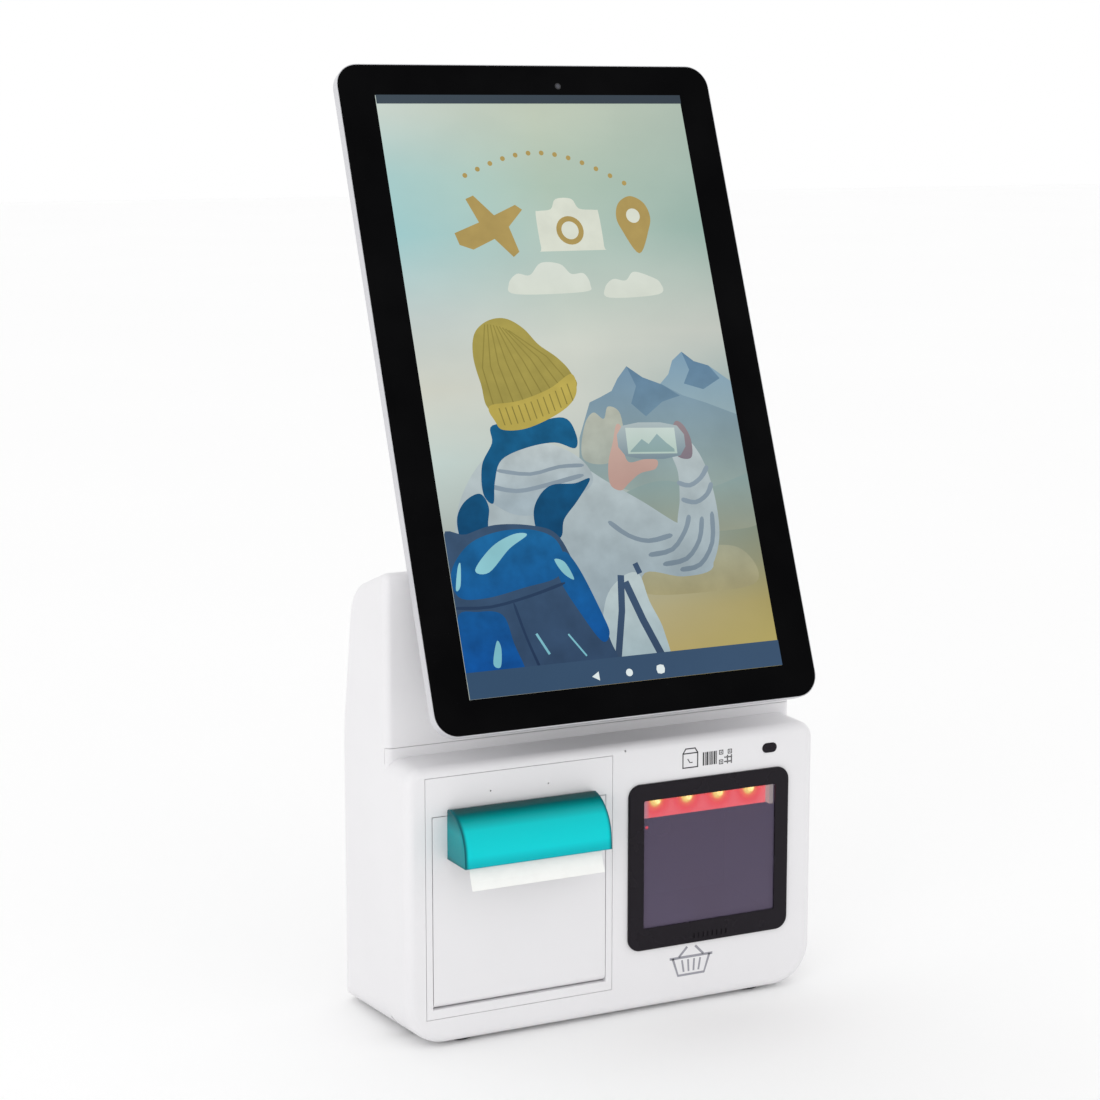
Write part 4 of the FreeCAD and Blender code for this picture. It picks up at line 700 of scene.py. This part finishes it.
def printed_signs():
    """Small black signs over the reader, and a plain grey basket under it."""
    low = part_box("front_cover")[0]
    face = placed(Matrix(((1, 0, 0), (0, 0, -1), (0, 1, 0))).to_4x4(), Vector((0, low.y, low.z)))
    black = printed_ink("sign_black", srgb(34, 33, 36))
    grey = printed_ink("sign_grey", srgb(150, 150, 158))

    box_sign = frame_lines(41.2, 51.4, 139.0, 148.0, 0.7)
    box_sign += [stroke([(41.5, 147.6), (43.4, 150.6)], 0.7), stroke([(51.1, 147.6), (49.2, 150.6)], 0.7),
                 stroke([(43.2, 150.4), (49.4, 150.4)], 0.7),
                 stroke([(44.6, 144.4), (46.0, 142.2), (47.8, 142.2)], 0.6)]
    flat_shapes("sign_parcel", box_sign, 0.0, LAYER, face, black, "housing")

    bars, x = [], 54.4
    for width, gap in ((0.9, 0.5), (0.5, 0.4), (1.2, 0.4), (0.5, 0.5), (0.9, 0.4), (0.6, 0.4), (1.1, 0.4),
                       (0.5, 0.3)):
        bars.append(block(x, x + width, 139.4, 147.2))
        x += width + gap
    flat_shapes("sign_bars", bars, 0.0, LAYER, face, black, "housing")

    cells, size, x0, y0 = [], 0.86, 65.0, 138.9
    for cx, cy in ((0, 0), (0, 6.6), (6.6, 6.6)):
        left, foot = x0 + cx * size, y0 + cy * size
        cells += frame_lines(left, left + 3.2 * size, foot, foot + 3.2 * size, 0.5)
        cells.append(block(left + 1.1 * size, left + 2.1 * size, foot + 1.1 * size, foot + 2.1 * size))
    for i in range(4, 10):
        for j in range(0, 6):
            if (i * 5 + j * 3 + i * j) % 3 == 0:
                cells.append(block(x0 + i * size, x0 + (i + 0.9) * size, y0 + j * size, y0 + (j + 0.9) * size))
    flat_shapes("sign_squares", cells, 0.0, LAYER, face, black, "housing")

    basket = [stroke([(34, 27.2), (62, 27.2)], 1.5),
              stroke([(36, 27.2), (39.5, 16.6), (56.5, 16.6), (60, 27.2)], 1.5),
              stroke([(40, 27.6), (45.4, 33.2)], 1.4), stroke([(56, 27.6), (50.6, 33.2)], 1.4)]
    basket += [stroke([(x, 25.6), (x + (48 - x) * 0.2, 18.4)], 1.2) for x in (42, 46, 50, 54)]
    flat_shapes("sign_basket", basket, 0.0, LAYER, face, grey, "housing")


def aiming_spot():
    """Small red aiming light seen through the reader's window."""
    low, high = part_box("scanner_window")
    face = placed(Matrix(((1, 0, 0), (0, 0, -1), (0, 1, 0))).to_4x4(), Vector((low.x, high.y + 0.0006, high.z)))
    red = glowing("aiming_red", srgb(255, 40, 40), srgb(255, 60, 50), patchy=0.0, strength=6.0)
    flat_shapes("aiming_spot", [disc(5.0, -18.2, 0.9)], 0.0, 0.2, face, red, "housing")


# ---------------------------------------------------------------- finishes of the CAD nodes
def finish_nodes():
    """Gives every CAD node the finish of its material slot."""
    white = moulded("white_plastic_skin", srgb(232, 231, 233), 0.4, grain=900.0, relief=0.05)
    finishes = {
        "white_plastic": white,
        "white_inner_plastic": moulded("white_inner_skin", srgb(214, 214, 216), 0.5),
        "silver_frame": satin_paint("silver_lacquer", srgb(212, 212, 216)),
        "black_glass": printed_glass(),
        "lcd_stack": moulded("panel_edge", srgb(60, 62, 66), 0.5),
        "tinted_glass": reader_glass(),
        "charcoal_plastic": moulded("charcoal_skin", srgb(27, 23, 29), 0.26, relief=0.0, specular=0.14),
        "teal_plastic": hood_plastic(),
        "black_plastic": moulded("black_skin", srgb(15, 14, 17), 0.55, specular=0.14),
        "steel": folded_steel("folded_steel", srgb(196, 197, 199), 0.36),
        "zinc_screws": folded_steel("zinc", srgb(208, 208, 212), 0.28, (1.0, 8.0, 1.0)),
        "aluminium_parts": folded_steel("cast_aluminium", srgb(205, 206, 208), 0.42, (2.0, 2.0, 2.0)),
        "rubber_black": rubber("black_rubber", srgb(28, 28, 29)),
        "gear_plastic": moulded("acetal", srgb(232, 226, 210), 0.4, coat=0.2),
        "paper": thermal_paper(),
        "card_core": grey_board(),
        "circuit_board": circuit_board(),
        "lamp_red": lamp_light(),
        "diffuser_red": lit_diffuser(),
        "connector_metal": folded_steel("tinned_steel", srgb(200, 200, 203), 0.3),
        "friction_lining": rubber("friction_lining", srgb(70, 62, 52)),
    }
    slots = {entry["node"]: entry["material_slot"] for entry in frame["record"]["subparts"]}
    for name, node in frame["nodes"].items():
        node.data.materials.clear()
        node.data.materials.append(finishes[slots[name]])
    roll = frame["nodes"]["paper_roll"].data.materials
    roll.clear()
    roll.append(wound_paper())


def return_spring():
    """Conical wire spring behind the power button, whose coils close into each other when the button is pressed; this
    mesh is built at rest.
    """
    low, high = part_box("button_spring")
    length, middle = high.y - low.y, (low + high) / 2
    wire, turns, per_turn, sides = 0.0002, 4, 24, 8
    wide = (high.x - low.x) / 2 - wire
    count = turns * per_turn
    verts, faces = [], []
    for i in range(count + 1):
        along = i / count
        turn = 2 * math.pi * turns * along
        radius = wide * (1 - 0.5 * along)
        depth = low.y + wire + (length - 2 * wire) * along
        for k in range(sides):
            a = 2 * math.pi * k / sides
            reach = radius + wire * math.cos(a)
            verts.append((middle.x + reach * math.cos(turn), depth + wire * math.sin(a),
                          middle.z + reach * math.sin(turn)))
    for i in range(count):
        near, far = i * sides, (i + 1) * sides
        faces += [[near + k, near + (k + 1) % sides, far + (k + 1) % sides, far + k] for k in range(sides)]
    faces.append(list(range(sides))[::-1])
    faces.append([count * sides + k for k in range(sides)])
    metal = frame["nodes"]["button_spring"].data.materials[0]
    spring = new_object("return_spring", verts, faces, Matrix.Identity(4), metal, "housing")
    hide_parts("button_spring")
    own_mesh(spring)


# ---------------------------------------------------------------- studio
def area_light(name, where, aim, size, watts):
    data = bpy.data.lights.new(name, "AREA")
    data.shape = "DISK"
    data.size = size
    data.energy = watts
    lamp = bpy.data.objects.new(name, data)
    bpy.context.collection.objects.link(lamp)
    lamp.location = where
    lamp.rotation_euler = (Vector(aim) - Vector(where)).to_track_quat("-Z", "Y").to_euler()


def studio():
    scene = bpy.context.scene
    scene.view_settings.view_transform = "Standard"
    world = bpy.data.worlds.new("studio")
    world.use_nodes = True
    world.node_tree.nodes["Background"].inputs["Color"].default_value = (1.0, 1.0, 1.0, 1.0)
    world.node_tree.nodes["Background"].inputs["Strength"].default_value = 1.0
    scene.world = world

    size = 12.0
    floor_mesh = bpy.data.meshes.new("floor")
    corners = [(-size, -size, 0), (size, -size, 0), (size, size, 0), (-size, size, 0)]
    floor_mesh.from_pydata(corners, [], [(0, 1, 2, 3)])
    paint = Paint("floor_paint", (0.985, 0.985, 0.985, 1.0), 0.8)
    paint.mottled((0.985, 0.985, 0.985, 1.0), 0.005, 1.5)
    floor_mesh.materials.append(paint.mat)
    floor = bpy.data.objects.new("floor", floor_mesh)
    bpy.context.collection.objects.link(floor)
    floor.location = (0, 0, CAD_BOX[0].z - 0.0002)

    middle = (CAD_BOX[0] + CAD_BOX[1]) / 2
    area_light("key", (-1.5, -1.3, 0.55), middle, 1.0, 4.0)


def camera():
    """Looks from the customer's left and a little above, at the printer's side of the front."""
    azimuth, elevation, distance = math.radians(-25.544), math.radians(9.114), 1.4
    aim = Vector((-0.014, 0.007, 0.291))
    ahead = Vector((-math.sin(azimuth) * math.cos(elevation), math.cos(azimuth) * math.cos(elevation),
                    -math.sin(elevation)))
    data = bpy.data.cameras.new("camera")
    data.sensor_width = 36.0
    data.lens = 80.44
    data.shift_y = -0.0455
    eye = bpy.data.objects.new("camera", data)
    bpy.context.collection.objects.link(eye)
    eye.location = aim - ahead * distance
    eye.rotation_euler = ahead.to_track_quat("-Z", "Y").to_euler()
    bpy.context.scene.camera = eye


finish_nodes()
screen_picture()
camera_spot()
printed_signs()
aiming_spot()
return_spring()
studio()
camera()
